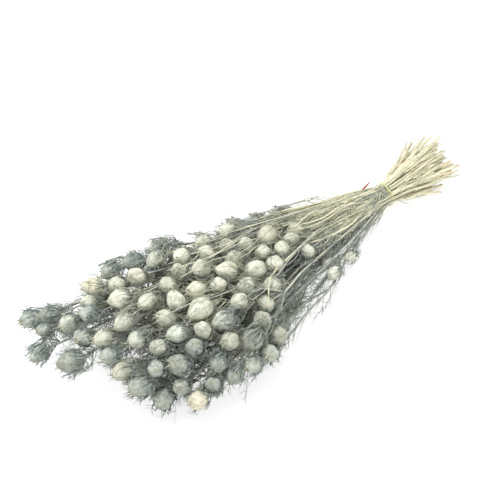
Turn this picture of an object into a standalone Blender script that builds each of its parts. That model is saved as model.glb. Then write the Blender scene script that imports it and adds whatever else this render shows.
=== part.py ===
"""A tied bunch of dried nigella: cut stems that lie fanned out on a surface, with their ribbed seed pods.

Every spray is one stem with its side branches, pods, bracts and leaf threads, grown together as one solid.
The frame has its origin on the surface, under the middle of the bunch, with +Z up, the cut ends towards
+X and the pods towards -X. Places in the bunch are first worked out from the tie: reach towards the
pods, across to the near side, and height above the surface.
"""

import math
import random

import bmesh
import bpy
import numpy as np
from mathutils import Matrix, Vector

MM = 0.001

# The fan that the pods' middles lie on: reach, half width, middle across and height, in millimetres.
FAN = (
    (0, 13, 0, 26),
    (50, 23, 3, 36),
    (100, 36, 5, 48),
    (150, 45, 5, 58),
    (200, 58, 8, 68),
    (250, 78, 12, 76),
    (300, 86, 8, 78),
    (350, 82, 6, 72),
    (400, 76, -10, 60),
    (450, 66, -16, 44),
)

# The furthest pod of each stem, as reach, across and radius in millimetres. First those that show on top.
UPPER_TIPS = (
    (428, -29, 9), (415, 5, 11), (404, -72, 9), (393, -54, 8.5), (390, -32, 9), (388, 30, 9),
    (388, 44, 9), (383, 62, 10.8), (366, 82, 10.8), (350, 97, 9.5), (348, -46, 9.5), (343, -14, 10),
    (358, 12, 9), (346, 74, 10.5), (313, 90, 9.5), (276, 90, 10.8), (264, 104, 9), (246, 98, 9),
    (330, 52, 9), (297, 48, 11.2), (310, 27, 9.5), (301, 5, 8.5), (297, -52, 9), (314, -27, 9.5),
    (288, 68, 9.5), (266, -48, 9), (264, -17, 8.5), (262, 8, 9), (243, 50, 9), (237, 70, 8.5),
    (220, 38, 10.5), (226, 14, 9), (231, -22, 8.5), (197, 38, 8.5), (201, -22, 8.5), (179, 10, 10),
    (181, -36, 8), (150, 36, 7.5), (141, 14, 7.5), (131, -24, 7.5),
)
# Then those underneath and on the far side.
LOWER_TIPS = (
    (352, 20, 8.5), (350, 50, 9), (368, -66, 8.5), (334, -66, 9), (304, 76, 9), (292, -20, 9),
    (262, -58, 8.5), (232, 34, 8.5), (210, -40, 8.5),
)
# Pods on side branches that show on top, in the same way, and the number of pods on branches underneath.
UPPER_PODS = (
    (407, -45, 7.5), (371, -27, 8), (392, -6, 9), (380, 10, 9), (350, 52, 8.5), (360, 33, 9),
    (366, 64, 8.5), (352, 88, 8.5), (330, 72, 9), (330, 100, 8), (309, 106, 8), (297, 84, 9.5),
    (285, 106, 8.5), (311, 66, 8.5), (328, 8, 8.5), (330, -33, 8.5), (326, 32, 9), (283, 28, 9),
    (280, -34, 8.5), (281, 0, 8), (266, 34, 8.5), (262, 60, 9), (256, 84, 9), (245, 28, 9),
    (244, -6, 8.5), (214, 56, 9), (205, 8, 8.5), (197, 20, 8), (214, -4, 8), (160, -30, 7.5),
    (157, 22, 7.5), (128, 48, 6.5), (106, 53, 6), (137, 60, 7), (176, 26, 8), (362, -38, 8),
    (316, -62, 8.5),
)
LOWER_PODS = 14

# Stems and pods.
STEM_RADIUS = 1.4 * MM
NECK_RADIUS = 0.8 * MM
CUT_REACH = -80 * MM
CUT_SPLAY = (1, 2.4, 1.7)
CUT_LIFT = 3 * MM
STEM_STEP = 46 * MM
NECK_LENGTH = 22 * MM
ROOT_SHARE = 0.6
CORNER = 1.14
POD_RADIUS = 8.8 * MM
POD_CORE = 5 * MM
BRANCH_REACH = (34 * MM, 85 * MM)
SEED = 7

# The bundle at the tie: stems side by side, in a rubber band that stands clear of them and of the surface.
STEM_PITCH = 3.25 * MM
TIE_HALF = 7 * MM
BAND_WIDTH = 3.4 * MM
BAND_THICKNESS = 1.4 * MM
BAND_GAP = 0.4 * MM
BAND_POINTS = 40

# Clearances between sprays, and how deep the flat spots are that the bunch lies on.
GAP = 0.6 * MM
SPIKE_GAP = 0.45 * MM
RELAX_STEPS = 600
STEM_HOLD = 0.01
POD_HOLD = 0.05
FLAT_DEPTH = 0.3 * MM
RESTING_HEIGHT = 1.5 * MM

# A pod's outline from its neck up, as width and height over its radius, and how its five ribs stand out.
POD_SIDES = 10
POD_PROFILE = ((0.34, -1.02), (0.93, -0.42), (0.97, 0.30), (0.42, 0.84))
VALLEY = 0.87
CROWN_RISE = 0.36
APEX_HEIGHT = 0.90

# Bracts round a pod's neck and leaf threads along a stem.
BRACT_REACH = (1.5, 1.0, 0.6)
BRACT_THICK = (0.3, 0.16)
THREADS = 1
THREAD_RADIUS = 0.7 * MM
THREAD_TRIES = 12

# Colours: each spray is somewhere between cream and blue-grey, and the band is yellow-green.
CREAM = (0.56, 0.54, 0.40)
BLUE_GREY = (0.34, 0.39, 0.37)
BAND_GREEN = (0.52, 0.55, 0.16)


def fan_at(reach):
    """Half width, middle across and height of the fan, in millimetres, at a reach in millimetres."""
    table = np.array(FAN)
    return (np.interp(reach, table[:, 0], table[:, column]) for column in (1, 2, 3))


def fan_point(reach, across, side):
    """A place on the fan, in metres, on its upper side (1) or its lower side (-1)."""
    half, middle, height = fan_at(reach)
    share = max(-1.0, min(1.0, (across - middle) / half))
    return np.array((reach, across, height / 2 * (1 + side * math.sqrt(1 - share**2)))) * MM


def fan_share(place):
    """How far out a place lies in the fan's cross-section: 0 in the middle and 1 on the fan."""
    half, middle, height = fan_at(place[0] / MM)
    return math.hypot((place[1] / MM - middle) / half, place[2] / MM / (height / 2) - 1)


def tie_slots(count):
    """Places of the stems where they are tied, close-packed in a round bundle."""
    rows = []
    for row in range(-6, 7):
        for column in range(-6, 7):
            shift = 0.5 * (row % 2) + 0.21
            rows.append(np.array((0, (column + shift) * STEM_PITCH, row * STEM_PITCH * math.sqrt(3) / 2)))
    return sorted(rows, key=np.linalg.norm)[:count]


def matched(slots, tips):
    """Gives each slot its tip so that no stems cross, by swapping pairs while that suits the slots."""
    ways = [tip[:3] / tip[0] for tip in tips]
    order = list(range(len(tips)))
    swapped = True
    while swapped:
        swapped = False
        for one in range(len(order)):
            for two in range(one):
                slot = slots[one] - slots[two]
                way = ways[order[one]] - ways[order[two]]
                if slot @ way < -1e-12:
                    order[one], order[two] = order[two], order[one]
                    swapped = True
    return [tips[n] for n in order]


class Bunch:
    """Stems and branches as chains of points, and the rods between them. A pod is a short thick rod."""

    def __init__(self):
        self.points = []
        self.free = []
        self.rods = []
        self.chains = []

    def add_point(self, place, free=1.0):
        self.points.append(np.array(place, float))
        self.free.append(free)
        return len(self.points) - 1

    def add_chain(self, indices, spray, pod_radius, start_radius):
        """A chain whose last rod is its pod. Its stem thins from start_radius to the neck."""
        rods = len(indices) - 1
        for n, (start, end) in enumerate(zip(indices, indices[1:])):
            thin = start_radius + (NECK_RADIUS - start_radius) * n / rods
            radius = pod_radius if n == rods - 1 else thin
            self.rods.append((start, end, radius, spray, len(self.chains)))
        self.chains.append({"points": indices, "spray": spray, "pod": pod_radius, "start": start_radius})

    def places(self, chain):
        return [self.points[index] for index in chain["points"]]


def unit(vector):
    return vector / np.linalg.norm(vector)


def tilted(direction, degrees, draw):
    """The direction turned by up to this many degrees, any way round."""
    aside = Vector(direction).orthogonal().normalized()
    aside.rotate(Matrix.Rotation(draw.uniform(0, 2 * math.pi), 3, Vector(direction)))
    turn = Matrix.Rotation(math.radians(degrees) * draw.random(), 3, aside)
    return np.array(turn @ Vector(direction))


def add_stems(bunch, draw):
    """One stem for each furthest pod. Returns the height of the bundle's middle at the tie."""
    tips = []
    for places, side in ((UPPER_TIPS, 1), (LOWER_TIPS, -1)):
        tips += [np.append(fan_point(reach, across, side), radius * MM) for reach, across, radius in places]
    slots = tie_slots(len(tips))
    lowest = min(slot[2] for slot in slots)
    middle = np.array((0, 0, 2 * BAND_GAP + BAND_THICKNESS + STEM_RADIUS - lowest))
    for spray, (slot, tip) in enumerate(zip(slots, matched(slots, tips))):
        tip, radius = tip[:3], tip[3]
        tip[2] = max(tip[2], radius)
        cut = middle + slot * CUT_SPLAY + (CUT_REACH + draw.uniform(-15, 18) * MM, 0, CUT_LIFT)
        cut[1:] += [draw.gauss(0, 2 * MM), draw.gauss(0, 2 * MM)]
        start = middle + slot + (TIE_HALF, 0, 0)
        indices = [bunch.add_point(cut)]
        indices += [bunch.add_point(start - (2 * TIE_HALF, 0, 0), 0), bunch.add_point(start, 0)]
        heading = unit(tip - start)
        base = tip - heading * POD_CORE / 2
        neck = base - heading * NECK_LENGTH
        steps = max(2, round(np.linalg.norm(neck - start) / STEM_STEP))
        bow, wave = draw.gauss(0, 4 * MM), draw.gauss(0, 2.5 * MM)
        for share in [0.4 / steps] + [step / steps for step in range(1, steps + 1)]:
            place = start + (neck - start) * share
            place[1] += bow * math.sin(math.pi * share) + wave * math.sin(2 * math.pi * share)
            indices.append(bunch.add_point(place))
        indices.append(bunch.add_point(base))
        indices.append(bunch.add_point(base + tilted(heading, 24, draw) * POD_CORE))
        bunch.add_chain(indices, spray, radius, STEM_RADIUS)
    return middle[2]


def branch_root(bunch, stems, counts, place):
    """The stem and joint that a branch to this place grows from: back along a stem that passes near it."""
    choices = []
    for stem in range(len(stems)):
        line = bunch.places(stems[stem])
        for root in range(3, len(line) - 2):
            heading = unit(line[root + 1] - line[root])
            along = (place - line[root]) @ heading
            aside = np.linalg.norm(place - line[root] - heading * along)
            if counts[stem] < 2 and BRANCH_REACH[0] < along < BRANCH_REACH[1] and aside > POD_RADIUS:
                choices.append((aside + along * 0.3 + counts[stem] * POD_RADIUS, stem, root))
    return min(choices)[1:]


def emptiest_below(middles, draw):
    """A place on the fan's lower side, as far from the other pods as can be found among many."""
    low_pods = (fan_point(draw.uniform(200, 345), draw.uniform(-60, 80), -1) for _ in range(200))
    within = [np.maximum(place, (0, -1, POD_RADIUS)) for place in low_pods if fan_share(place) < 1.05]
    return max(within, key=lambda place: min(np.linalg.norm(place - other) for other in middles))


def add_side_pods(bunch, draw):
    """Pods on side branches: first those that show on top, then others in empty places underneath."""
    stems = list(bunch.chains)
    middles = [(bunch.places(chain)[-1] + bunch.places(chain)[-2]) / 2 for chain in stems]
    counts = [0] * len(stems)
    plan = [(fan_point(reach, across, 1), radius * MM) for reach, across, radius in UPPER_PODS]
    middles += [place for place, _ in plan]
    for _ in range(LOWER_PODS):
        middles.append(emptiest_below(middles, draw))
        plan.append((middles[-1], POD_RADIUS * draw.uniform(0.9, 1.05)))
    for place, radius in plan:
        stem, root = branch_root(bunch, stems, counts, place)
        line = bunch.places(stems[stem])
        counts[stem] += 1
        aim = tilted(unit(unit(place - line[root]) + unit(line[root + 1] - line[root])), 20, draw)
        base = place - aim * POD_CORE / 2
        indices = [stems[stem]["points"][root], bunch.add_point(base - aim * NECK_LENGTH)]
        indices += [bunch.add_point(base), bunch.add_point(base + aim * POD_CORE)]
        bunch.add_chain(indices, stems[stem]["spray"], radius, NECK_RADIUS * 1.25)


def nearest_shares(start_a, end_a, start_b, end_b):
    """Where along two sets of rods each pair is nearest, as shares from 0 to 1."""
    along_a, along_b, between = end_a - start_a, end_b - start_b, start_a - start_b
    aa, bb = (along_a**2).sum(1), (along_b**2).sum(1)
    ab, ca, cb = (along_a * along_b).sum(1), (along_a * between).sum(1), (along_b * between).sum(1)
    share_a = np.clip((ab * cb - ca * bb) / np.maximum(aa * bb - ab**2, 1e-16), 0, 1)
    share_b = np.clip((ab * share_a + cb) / bb, 0, 1)
    return np.clip((ab * share_b - ca) / aa, 0, 1)[:, None], share_b[:, None]


class Rods:
    """The bunch's rods as arrays, to find how far pairs of them are apart."""

    def __init__(self, bunch):
        self.points = np.array(bunch.points)
        self.start, self.end, self.spray, self.chain = (
            np.array([rod[column] for rod in bunch.rods]) for column in (0, 1, 3, 4)
        )
        self.radius = np.array([rod[2] for rod in bunch.rods])

    def near_pairs(self, reach):
        """Pairs near each other that mustn't meet: of two sprays, or of one spray where one is a pod."""
        start, end = self.points[self.start], self.points[self.end]
        middle, size = (start + end) / 2, np.linalg.norm(end - start, axis=1) / 2 + self.radius
        far = np.linalg.norm(middle[:, None] - middle[None], axis=2)
        near = far < size[:, None] + size[None] + reach
        pod = self.radius > 2 * STEM_RADIUS
        one_spray = self.spray[:, None] == self.spray[None]
        one_chain = self.chain[:, None] == self.chain[None]
        apart = ~one_spray | (~one_chain & (pod[:, None] | pod[None]))
        return np.nonzero(np.triu(near & apart, 1))

    def apart(self, one, two):
        """For pairs of rods: their nearest shares, the vector between those places and the room between."""
        start_a, end_a = self.points[self.start[one]], self.points[self.end[one]]
        start_b, end_b = self.points[self.start[two]], self.points[self.end[two]]
        s, t = nearest_shares(start_a, end_a, start_b, end_b)
        between = start_a * (1 - s) + end_a * s - start_b * (1 - t) - end_b * t
        far = np.linalg.norm(between, axis=1)
        return s, t, between / np.maximum(far, 1e-9)[:, None], far - self.radius[one] - self.radius[two]


def relax(bunch):
    """Moves the points until the rods are clear of each other, as springy stems do when they are tied."""
    rods = Rods(bunch)
    points, free = rods.points, np.array(bunch.free)[:, None]
    start, end = rods.start, rods.end
    home, length = points.copy(), np.linalg.norm(points[end] - points[start], axis=1)[:, None]
    floor = np.zeros(len(points))
    np.maximum.at(floor, start, rods.radius)
    np.maximum.at(floor, end, rods.radius)
    lines = [chain["points"] for chain in bunch.chains]
    inner = [line[n - 1 : n + 2] for line in lines for n in range(1, len(line) - 2)]
    before, bend, after = (np.array(column) for column in zip(*inner))
    hold = np.full((len(points), 1), STEM_HOLD)
    hold[[index for line in lines for index in line[-2:]]] = POD_HOLD
    for step in range(RELAX_STEPS):
        if step % 10 == 0:
            one, two = rods.near_pairs(8 * MM)
        s, t, way, room = rods.apart(one, two)
        push = way * np.maximum(GAP - room, 0)[:, None] * 0.6
        move, hits = np.zeros_like(points), np.full(len(points), 1e-9)
        shares = (1 - s, s, 1 - t, t)
        spread = (s**2 + (1 - s) ** 2,) * 2 + (-(t**2) - (1 - t) ** 2,) * 2
        for index, share, over in zip((start[one], end[one], start[two], end[two]), shares, spread):
            np.add.at(move, index, push * share / over)
            np.add.at(hits, index, room < GAP)
        points += free * move / np.maximum(hits, 1)[:, None]
        stretch = points[end] - points[start]
        fix = stretch * (1 - length / np.linalg.norm(stretch, axis=1)[:, None]) * 0.45
        np.add.at(points, start, fix * free[start])
        np.add.at(points, end, -fix * free[end])
        if step < RELAX_STEPS * 0.6:
            points[bend] += 0.04 * free[bend] * ((points[before] + points[after]) / 2 - points[bend])
            points += hold * free * (home - points)
        points[:, 2] = np.where(free[:, 0] > 0, np.maximum(points[:, 2], floor), points[:, 2])
    room = rods.apart(*rods.near_pairs(2 * MM))[3]
    print(f"stems, branches and pods are at least {room.min() / MM:.2f} mm apart")
    bunch.points = list(points)


class Clearance:
    """Knows what room is taken, so that a thin piece only grows where it is clear of the other sprays."""

    def __init__(self, bunch):
        rods = Rods(bunch)
        self.start, self.end = rods.points[rods.start], rods.points[rods.end]
        self.radius, self.spray = rods.radius, rods.spray

    def claim(self, line, radii, spray):
        """Takes the room along a line of places, or says False where a spray or the surface is near."""
        other = self.spray != spray
        start, end, thick = self.start[other], self.end[other], self.radius[other]
        for first, last, radius in zip(line, line[1:], radii):
            a, b = np.broadcast_to(first, start.shape), np.broadcast_to(last, start.shape)
            s, t = nearest_shares(a, b, start, end)
            between = a * (1 - s) + b * s - start * (1 - t) - end * t
            room = (np.linalg.norm(between, axis=1) - thick).min() - radius
            if room < SPIKE_GAP or last[2] < radius + SPIKE_GAP:
                return False
        self.start = np.vstack([self.start, line[:-1]])
        self.end = np.vstack([self.end, line[1:]])
        self.radius = np.append(self.radius, radii)
        self.spray = np.append(self.spray, [spray] * len(radii))
        return True


def tube(places, radii):
    """A stem, branch or thread: a round-ended run of four-sided tube through the places."""
    data = bpy.data.curves.new("tube", "CURVE")
    data.dimensions = "3D"
    data.bevel_depth = 1.0
    data.bevel_resolution = 0
    data.use_fill_caps = True
    spline = data.splines.new("POLY")
    spline.points.add(len(places) - 1)
    for point, place, radius in zip(spline.points, places, radii):
        point.co = (*place, 1)
        point.radius = radius * CORNER
    curve = bpy.data.objects.new("tube", data)
    bpy.context.collection.objects.link(curve)
    mesh = bpy.data.meshes.new_from_object(curve)
    bpy.data.objects.remove(curve)
    bpy.data.curves.remove(data)
    bm = bmesh.new()
    bm.from_mesh(mesh)
    bmesh.ops.remove_doubles(bm, verts=bm.verts, dist=0.01 * MM)
    return finished(bm, mesh)


def finished(bm, mesh):
    """Writes the bmesh to the mesh, with its faces outward, and makes an object of it."""
    bmesh.ops.recalc_face_normals(bm, faces=bm.faces)
    bm.to_mesh(mesh)
    bm.free()
    piece = bpy.data.objects.new(mesh.name, mesh)
    bpy.context.collection.objects.link(piece)
    return piece


def pod_frame(base, tip, turn):
    """The turn that stands a pod on its neck, and the pod's middle."""
    axis = Vector(tip) - Vector(base)
    stand = axis.to_track_quat("Z", "Y").to_matrix() @ Matrix.Rotation(turn, 3, "Z")
    return stand, (Vector(base) + Vector(tip)) / 2


def pod(base, tip, radius, spray, clearance, draw):
    """A ribbed pod with five beaks on its crown, and bracts from the lower ribs where there is room."""
    stand, middle = pod_frame(base, tip, draw.uniform(0, 2 * math.pi))
    bm = bmesh.new()
    ring = bmesh.ops.create_circle(bm, cap_ends=True, segments=POD_SIDES, radius=1)["verts"]
    for level, (width, height) in enumerate(POD_PROFILE):
        if level:
            edges = [edge for edge in bm.edges if edge.verts[0] in ring and edge.verts[1] in ring]
            grown = bmesh.ops.extrude_edge_only(bm, edges=edges)["geom"]
            ring = [item for item in grown if isinstance(item, bmesh.types.BMVert)]
        for vert in ring:
            angle = math.atan2(vert.co.y, vert.co.x)
            rib = math.cos(5 * angle) > 0
            wide = width * (1 if rib or level in (0, 3) else VALLEY)
            rise = CROWN_RISE if rib and level == 3 else 0
            vert.co = Vector((wide * math.cos(angle), wide * math.sin(angle), height + rise))
    edges = [edge for edge in bm.edges if edge.verts[0] in ring and edge.verts[1] in ring]
    crown = bmesh.ops.edgeloop_fill(bm, edges=edges)["faces"]
    apex = bmesh.ops.poke(bm, faces=crown)["verts"][0]
    apex.co = Vector((0, 0, APEX_HEIGHT))
    low, high = POD_PROFILE[0][1] + 0.1, POD_PROFILE[1][1]
    middles = [(face, face.calc_center_median()) for face in bm.faces]
    skirt = [(face, place) for face, place in middles if low < place.z < high]
    skirt.sort(key=lambda item: math.atan2(item[1].y, item[1].x))
    for face, root in skirt[::2]:
        out = Vector((root.x, root.y, 0)).normalized()
        for share in BRACT_REACH:
            bract = root + (out * draw.uniform(1.0, 1.2) + Vector((0, 0, draw.uniform(0.1, 0.6)))) * share
            places = (root, (root + bract) / 2, bract)
            line = [np.array(middle + stand @ (place * radius)) for place in places]
            if clearance.claim(line, [thick * radius for thick in BRACT_THICK], spray):
                bmesh.ops.poke(bm, faces=[face])["verts"][0].co = bract
                break
    for vert in bm.verts:
        vert.co = middle + stand @ (vert.co * radius)
    lowest = min(vert.co.z for vert in bm.verts)
    if lowest < RESTING_HEIGHT:
        bmesh.ops.translate(bm, verts=bm.verts, vec=(0, 0, -FLAT_DEPTH - lowest))
    return finished(bm, bpy.data.meshes.new("pod"))


def leaf_threads(line, spray, clearance, draw):
    """Leaf threads from a stem, leaning towards its tip, where there is room for them."""
    made = []
    for _ in range(THREAD_TRIES):
        if len(made) == THREADS:
            break
        joint = draw.randrange(3, len(line) - 3)
        heading = unit(line[joint + 1] - line[joint])
        root = line[joint] + (line[joint + 1] - line[joint]) * draw.random()
        side = unit(np.array(tilted(heading, 90, draw)) + heading * 0.2)
        length = draw.uniform(18, 34) * MM
        bend = root + unit(side + heading * 0.6) * length * 0.5
        places = [root, bend, bend + unit(side * 0.5 + heading) * length * 0.5]
        if clearance.claim(places, [THREAD_RADIUS] * 2, spray):
            made.append(tube(places, [THREAD_RADIUS * share for share in (ROOT_SHARE, 0.9, 0.5)]))
    return made


def fused(name, pieces):
    """The pieces grown together as one object, cut flat where it lies on the surface."""
    whole, others = pieces[0], bpy.data.collections.new(name)
    for piece in pieces[1:]:
        others.objects.link(piece)
    union = whole.modifiers.new("union", "BOOLEAN")
    union.operand_type = "COLLECTION"
    union.collection = others
    union.operation = "UNION"
    union.solver = "EXACT"
    mesh = bpy.data.meshes.new_from_object(whole.evaluated_get(bpy.context.evaluated_depsgraph_get()))
    for piece in pieces:
        bpy.data.objects.remove(piece)
    bpy.data.collections.remove(others)
    bm = bmesh.new()
    bm.from_mesh(mesh)
    bmesh.ops.remove_doubles(bm, verts=bm.verts, dist=0.002 * MM)
    everything = list(bm.verts) + list(bm.edges) + list(bm.faces)
    bmesh.ops.bisect_plane(bm, geom=everything, plane_co=(0, 0, 0), plane_no=(0, 0, 1), clear_inner=True)
    bmesh.ops.holes_fill(bm, edges=[edge for edge in bm.edges if edge.is_boundary])
    mesh.name = name
    return finished(bm, mesh)


def band(slots_middle, slots):
    """The rubber band: a flat loop round the tied bundle, a little wider than the bundle's outline."""
    wide = BAND_GAP + STEM_RADIUS + BAND_THICKNESS / 2
    data = bpy.data.curves.new("tie", "CURVE")
    data.dimensions = "3D"
    spline = data.splines.new("POLY")
    spline.points.add(BAND_POINTS - 1)
    spline.use_cyclic_u = True
    for n, point in enumerate(spline.points):
        angle = 2 * math.pi * n / BAND_POINTS
        out = np.array((0, math.cos(angle), math.sin(angle)))
        corner = max(slots, key=lambda slot: slot @ out)
        point.co = (*(corner + out * wide + (0, 0, slots_middle)), 1)
    data.bevel_mode = "ROUND"
    data.bevel_depth = BAND_THICKNESS / 2
    data.bevel_resolution = 1
    curve = bpy.data.objects.new("tie", data)
    bpy.context.collection.objects.link(curve)
    mesh = bpy.data.meshes.new_from_object(curve)
    bpy.data.objects.remove(curve)
    bpy.data.curves.remove(data)
    bm = bmesh.new()
    bm.from_mesh(mesh)
    bmesh.ops.remove_doubles(bm, verts=bm.verts, dist=0.01 * MM)
    bmesh.ops.scale(bm, verts=bm.verts, vec=(BAND_WIDTH / BAND_THICKNESS, 1, 1))
    mesh.name = "tie"
    return finished(bm, mesh)


def coloured(piece, colour, roughness):
    """Gives the piece a material of its own."""
    material = bpy.data.materials.new(piece.name)
    material.use_nodes = True
    shader = material.node_tree.nodes["Principled BSDF"]
    shader.inputs["Base Color"].default_value = (*colour, 1.0)
    shader.inputs["Roughness"].default_value = roughness
    shader.inputs["Metallic"].default_value = 0.0
    piece.data.materials.clear()
    piece.data.materials.append(material)


def main():
    for old in list(bpy.data.objects):
        bpy.data.objects.remove(old)
    draw = random.Random(SEED)
    bunch = Bunch()
    tie_height = add_stems(bunch, draw)
    add_side_pods(bunch, draw)
    relax(bunch)
    clearance = Clearance(bunch)
    sprays = {}
    for chain in bunch.chains:
        line = bunch.places(chain)
        count = len(line) - 1
        radii = [chain["start"] + (NECK_RADIUS - chain["start"]) * n / count for n in range(count)]
        if chain["start"] < STEM_RADIUS:
            radii[0] *= ROOT_SHARE
        grown = [tube(line[:-1], radii)]
        grown.append(pod(line[-2], line[-1], chain["pod"], chain["spray"], clearance, draw))
        sprays.setdefault(chain["spray"], []).extend(grown)
    for chain in bunch.chains:
        if chain["start"] == STEM_RADIUS:
            sprays[chain["spray"]] += leaf_threads(bunch.places(chain), chain["spray"], clearance, draw)
    solids = [fused(f"spray_{spray + 1:02d}", pieces) for spray, pieces in sprays.items()]
    for solid in solids:
        coloured(solid, Vector(CREAM).lerp(Vector(BLUE_GREY), draw.random()), 0.85)
    solids.append(band(tie_height, tie_slots(len(solids))))
    coloured(solids[-1], BAND_GREEN, 0.6)

    corners = np.array([tuple(vert.co) for solid in solids for vert in solid.data.vertices])
    low, high = corners.min(0), corners.max(0)
    shift = Vector((-(low[0] + high[0]) / 2, -(low[1] + high[1]) / 2, 0))
    half_turn = Matrix.Rotation(math.pi, 4, "Z")
    for solid in solids:
        solid.data.transform(half_turn @ Matrix.Translation(shift))
    print(f"{len(solids)} solids, {sum(len(solid.data.polygons) for solid in solids)} faces")


main()
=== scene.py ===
# %% [markdown]
# A bunch of dried nigella lies on a pale surface. The plant's ribbed seed pods fan out towards -X, and the
# cut stems end towards +X behind a thin rubber band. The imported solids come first: they say where things
# are.

import math
import random

import bmesh
import bpy
import numpy as np
from mathutils import Matrix, Vector, noise


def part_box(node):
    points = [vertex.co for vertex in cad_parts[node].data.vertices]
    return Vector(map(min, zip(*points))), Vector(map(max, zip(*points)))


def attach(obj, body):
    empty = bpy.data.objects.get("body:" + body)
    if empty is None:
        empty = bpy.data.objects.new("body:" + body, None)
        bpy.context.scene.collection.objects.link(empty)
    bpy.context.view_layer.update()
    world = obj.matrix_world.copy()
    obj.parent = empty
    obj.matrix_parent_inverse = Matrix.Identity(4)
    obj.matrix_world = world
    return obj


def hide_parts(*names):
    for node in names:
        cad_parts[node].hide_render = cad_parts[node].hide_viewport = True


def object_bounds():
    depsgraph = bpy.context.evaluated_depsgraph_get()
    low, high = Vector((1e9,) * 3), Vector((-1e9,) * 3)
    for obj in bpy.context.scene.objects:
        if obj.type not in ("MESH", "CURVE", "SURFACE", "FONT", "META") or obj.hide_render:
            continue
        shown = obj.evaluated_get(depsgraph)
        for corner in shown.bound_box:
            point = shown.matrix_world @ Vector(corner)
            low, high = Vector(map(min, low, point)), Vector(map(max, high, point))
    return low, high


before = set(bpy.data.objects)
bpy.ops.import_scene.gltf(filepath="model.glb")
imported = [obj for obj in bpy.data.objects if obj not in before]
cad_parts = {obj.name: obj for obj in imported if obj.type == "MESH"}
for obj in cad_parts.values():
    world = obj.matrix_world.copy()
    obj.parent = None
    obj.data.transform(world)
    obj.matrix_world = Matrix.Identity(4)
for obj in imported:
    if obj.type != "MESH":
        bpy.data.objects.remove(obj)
solid_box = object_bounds()
print("solids:", len(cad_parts), "box:", solid_box)

# %% [markdown]
# ## The plan of the bunch
#
# Finer stems and pods have to lie exactly where the solids are. They could be read off the imported meshes,
# but those are fused. The bunch follows a rule, so the same rule and the same seed give the same places
# here: the pods that show are listed, and others are drawn in empty places below. Places are
# measured from the tie: reach towards the pods, across to the near side, and height.

# %% Driving sizes, the same as in the solids
MM = 0.001

# The fan that the pods' middles lie on: reach, half width, middle across and height, in millimetres.
FAN = (
    (0, 13, 0, 26),
    (50, 23, 3, 36),
    (100, 36, 5, 48),
    (150, 45, 5, 58),
    (200, 58, 8, 68),
    (250, 78, 12, 76),
    (300, 86, 8, 78),
    (350, 82, 6, 72),
    (400, 76, -10, 60),
    (450, 66, -16, 44),
)

# The furthest pod of each stem, as reach, across and radius in millimetres. First those that show on top.
UPPER_TIPS = (
    (428, -29, 9), (415, 5, 11), (404, -72, 9), (393, -54, 8.5), (390, -32, 9), (388, 30, 9),
    (388, 44, 9), (383, 62, 10.8), (366, 82, 10.8), (350, 97, 9.5), (348, -46, 9.5), (343, -14, 10),
    (358, 12, 9), (346, 74, 10.5), (313, 90, 9.5), (276, 90, 10.8), (264, 104, 9), (246, 98, 9),
    (330, 52, 9), (297, 48, 11.2), (310, 27, 9.5), (301, 5, 8.5), (297, -52, 9), (314, -27, 9.5),
    (288, 68, 9.5), (266, -48, 9), (264, -17, 8.5), (262, 8, 9), (243, 50, 9), (237, 70, 8.5),
    (220, 38, 10.5), (226, 14, 9), (231, -22, 8.5), (197, 38, 8.5), (201, -22, 8.5), (179, 10, 10),
    (181, -36, 8), (150, 36, 7.5), (141, 14, 7.5), (131, -24, 7.5),
)
# Then those underneath and on the far side.
LOWER_TIPS = (
    (352, 20, 8.5), (350, 50, 9), (368, -66, 8.5), (334, -66, 9), (304, 76, 9), (292, -20, 9),
    (262, -58, 8.5), (232, 34, 8.5), (210, -40, 8.5),
)
# Pods on side branches that show on top, in the same way, and the number of pods on branches underneath.
UPPER_PODS = (
    (407, -45, 7.5), (371, -27, 8), (392, -6, 9), (380, 10, 9), (350, 52, 8.5), (360, 33, 9),
    (366, 64, 8.5), (352, 88, 8.5), (330, 72, 9), (330, 100, 8), (309, 106, 8), (297, 84, 9.5),
    (285, 106, 8.5), (311, 66, 8.5), (328, 8, 8.5), (330, -33, 8.5), (326, 32, 9), (283, 28, 9),
    (280, -34, 8.5), (281, 0, 8), (266, 34, 8.5), (262, 60, 9), (256, 84, 9), (245, 28, 9),
    (244, -6, 8.5), (214, 56, 9), (205, 8, 8.5), (197, 20, 8), (214, -4, 8), (160, -30, 7.5),
    (157, 22, 7.5), (128, 48, 6.5), (106, 53, 6), (137, 60, 7), (176, 26, 8), (362, -38, 8),
    (316, -62, 8.5),
)
LOWER_PODS = 14

# Stems and pods.
STEM_RADIUS = 1.4 * MM
NECK_RADIUS = 0.8 * MM
CUT_REACH = -80 * MM
CUT_STAGGER = (-15, 18)
CUT_SPREAD = 2 * MM
CUT_SPLAY = (1, 2.4, 1.7)
CUT_LIFT = 3 * MM
STEM_STEP = 46 * MM
STEM_BOW = 4 * MM
STEM_WAVE = 2.5 * MM
FIRST_JOINT = 0.4
NECK_LENGTH = 22 * MM
POD_LEAN = 24
BRANCH_LEAN = 20
BRANCHES = 2
POD_RADIUS = 8.8 * MM
POD_CORE = 5 * MM
BRANCH_REACH = (34 * MM, 85 * MM)
SEED = 7

# The bundle at the tie: stems side by side, in a rubber band that stands clear of them and of the surface.
STEM_PITCH = 3.25 * MM
SLOT_RANGE = range(-6, 7)
SLOT_SHIFT = 0.21
TIE_HALF = 7 * MM
BAND_THICKNESS = 1.4 * MM
BAND_GAP = 0.4 * MM
BAND_POINTS = 40

print("planned pods:", len(UPPER_TIPS + LOWER_TIPS + UPPER_PODS) + LOWER_PODS)

# %% [markdown]
# The pods' middles lie on a fan: a tube with an oval section that widens from the tie and narrows at the
# front. A table of sections is enough for it, since a place is only ever asked for at a reach and across.

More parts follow.
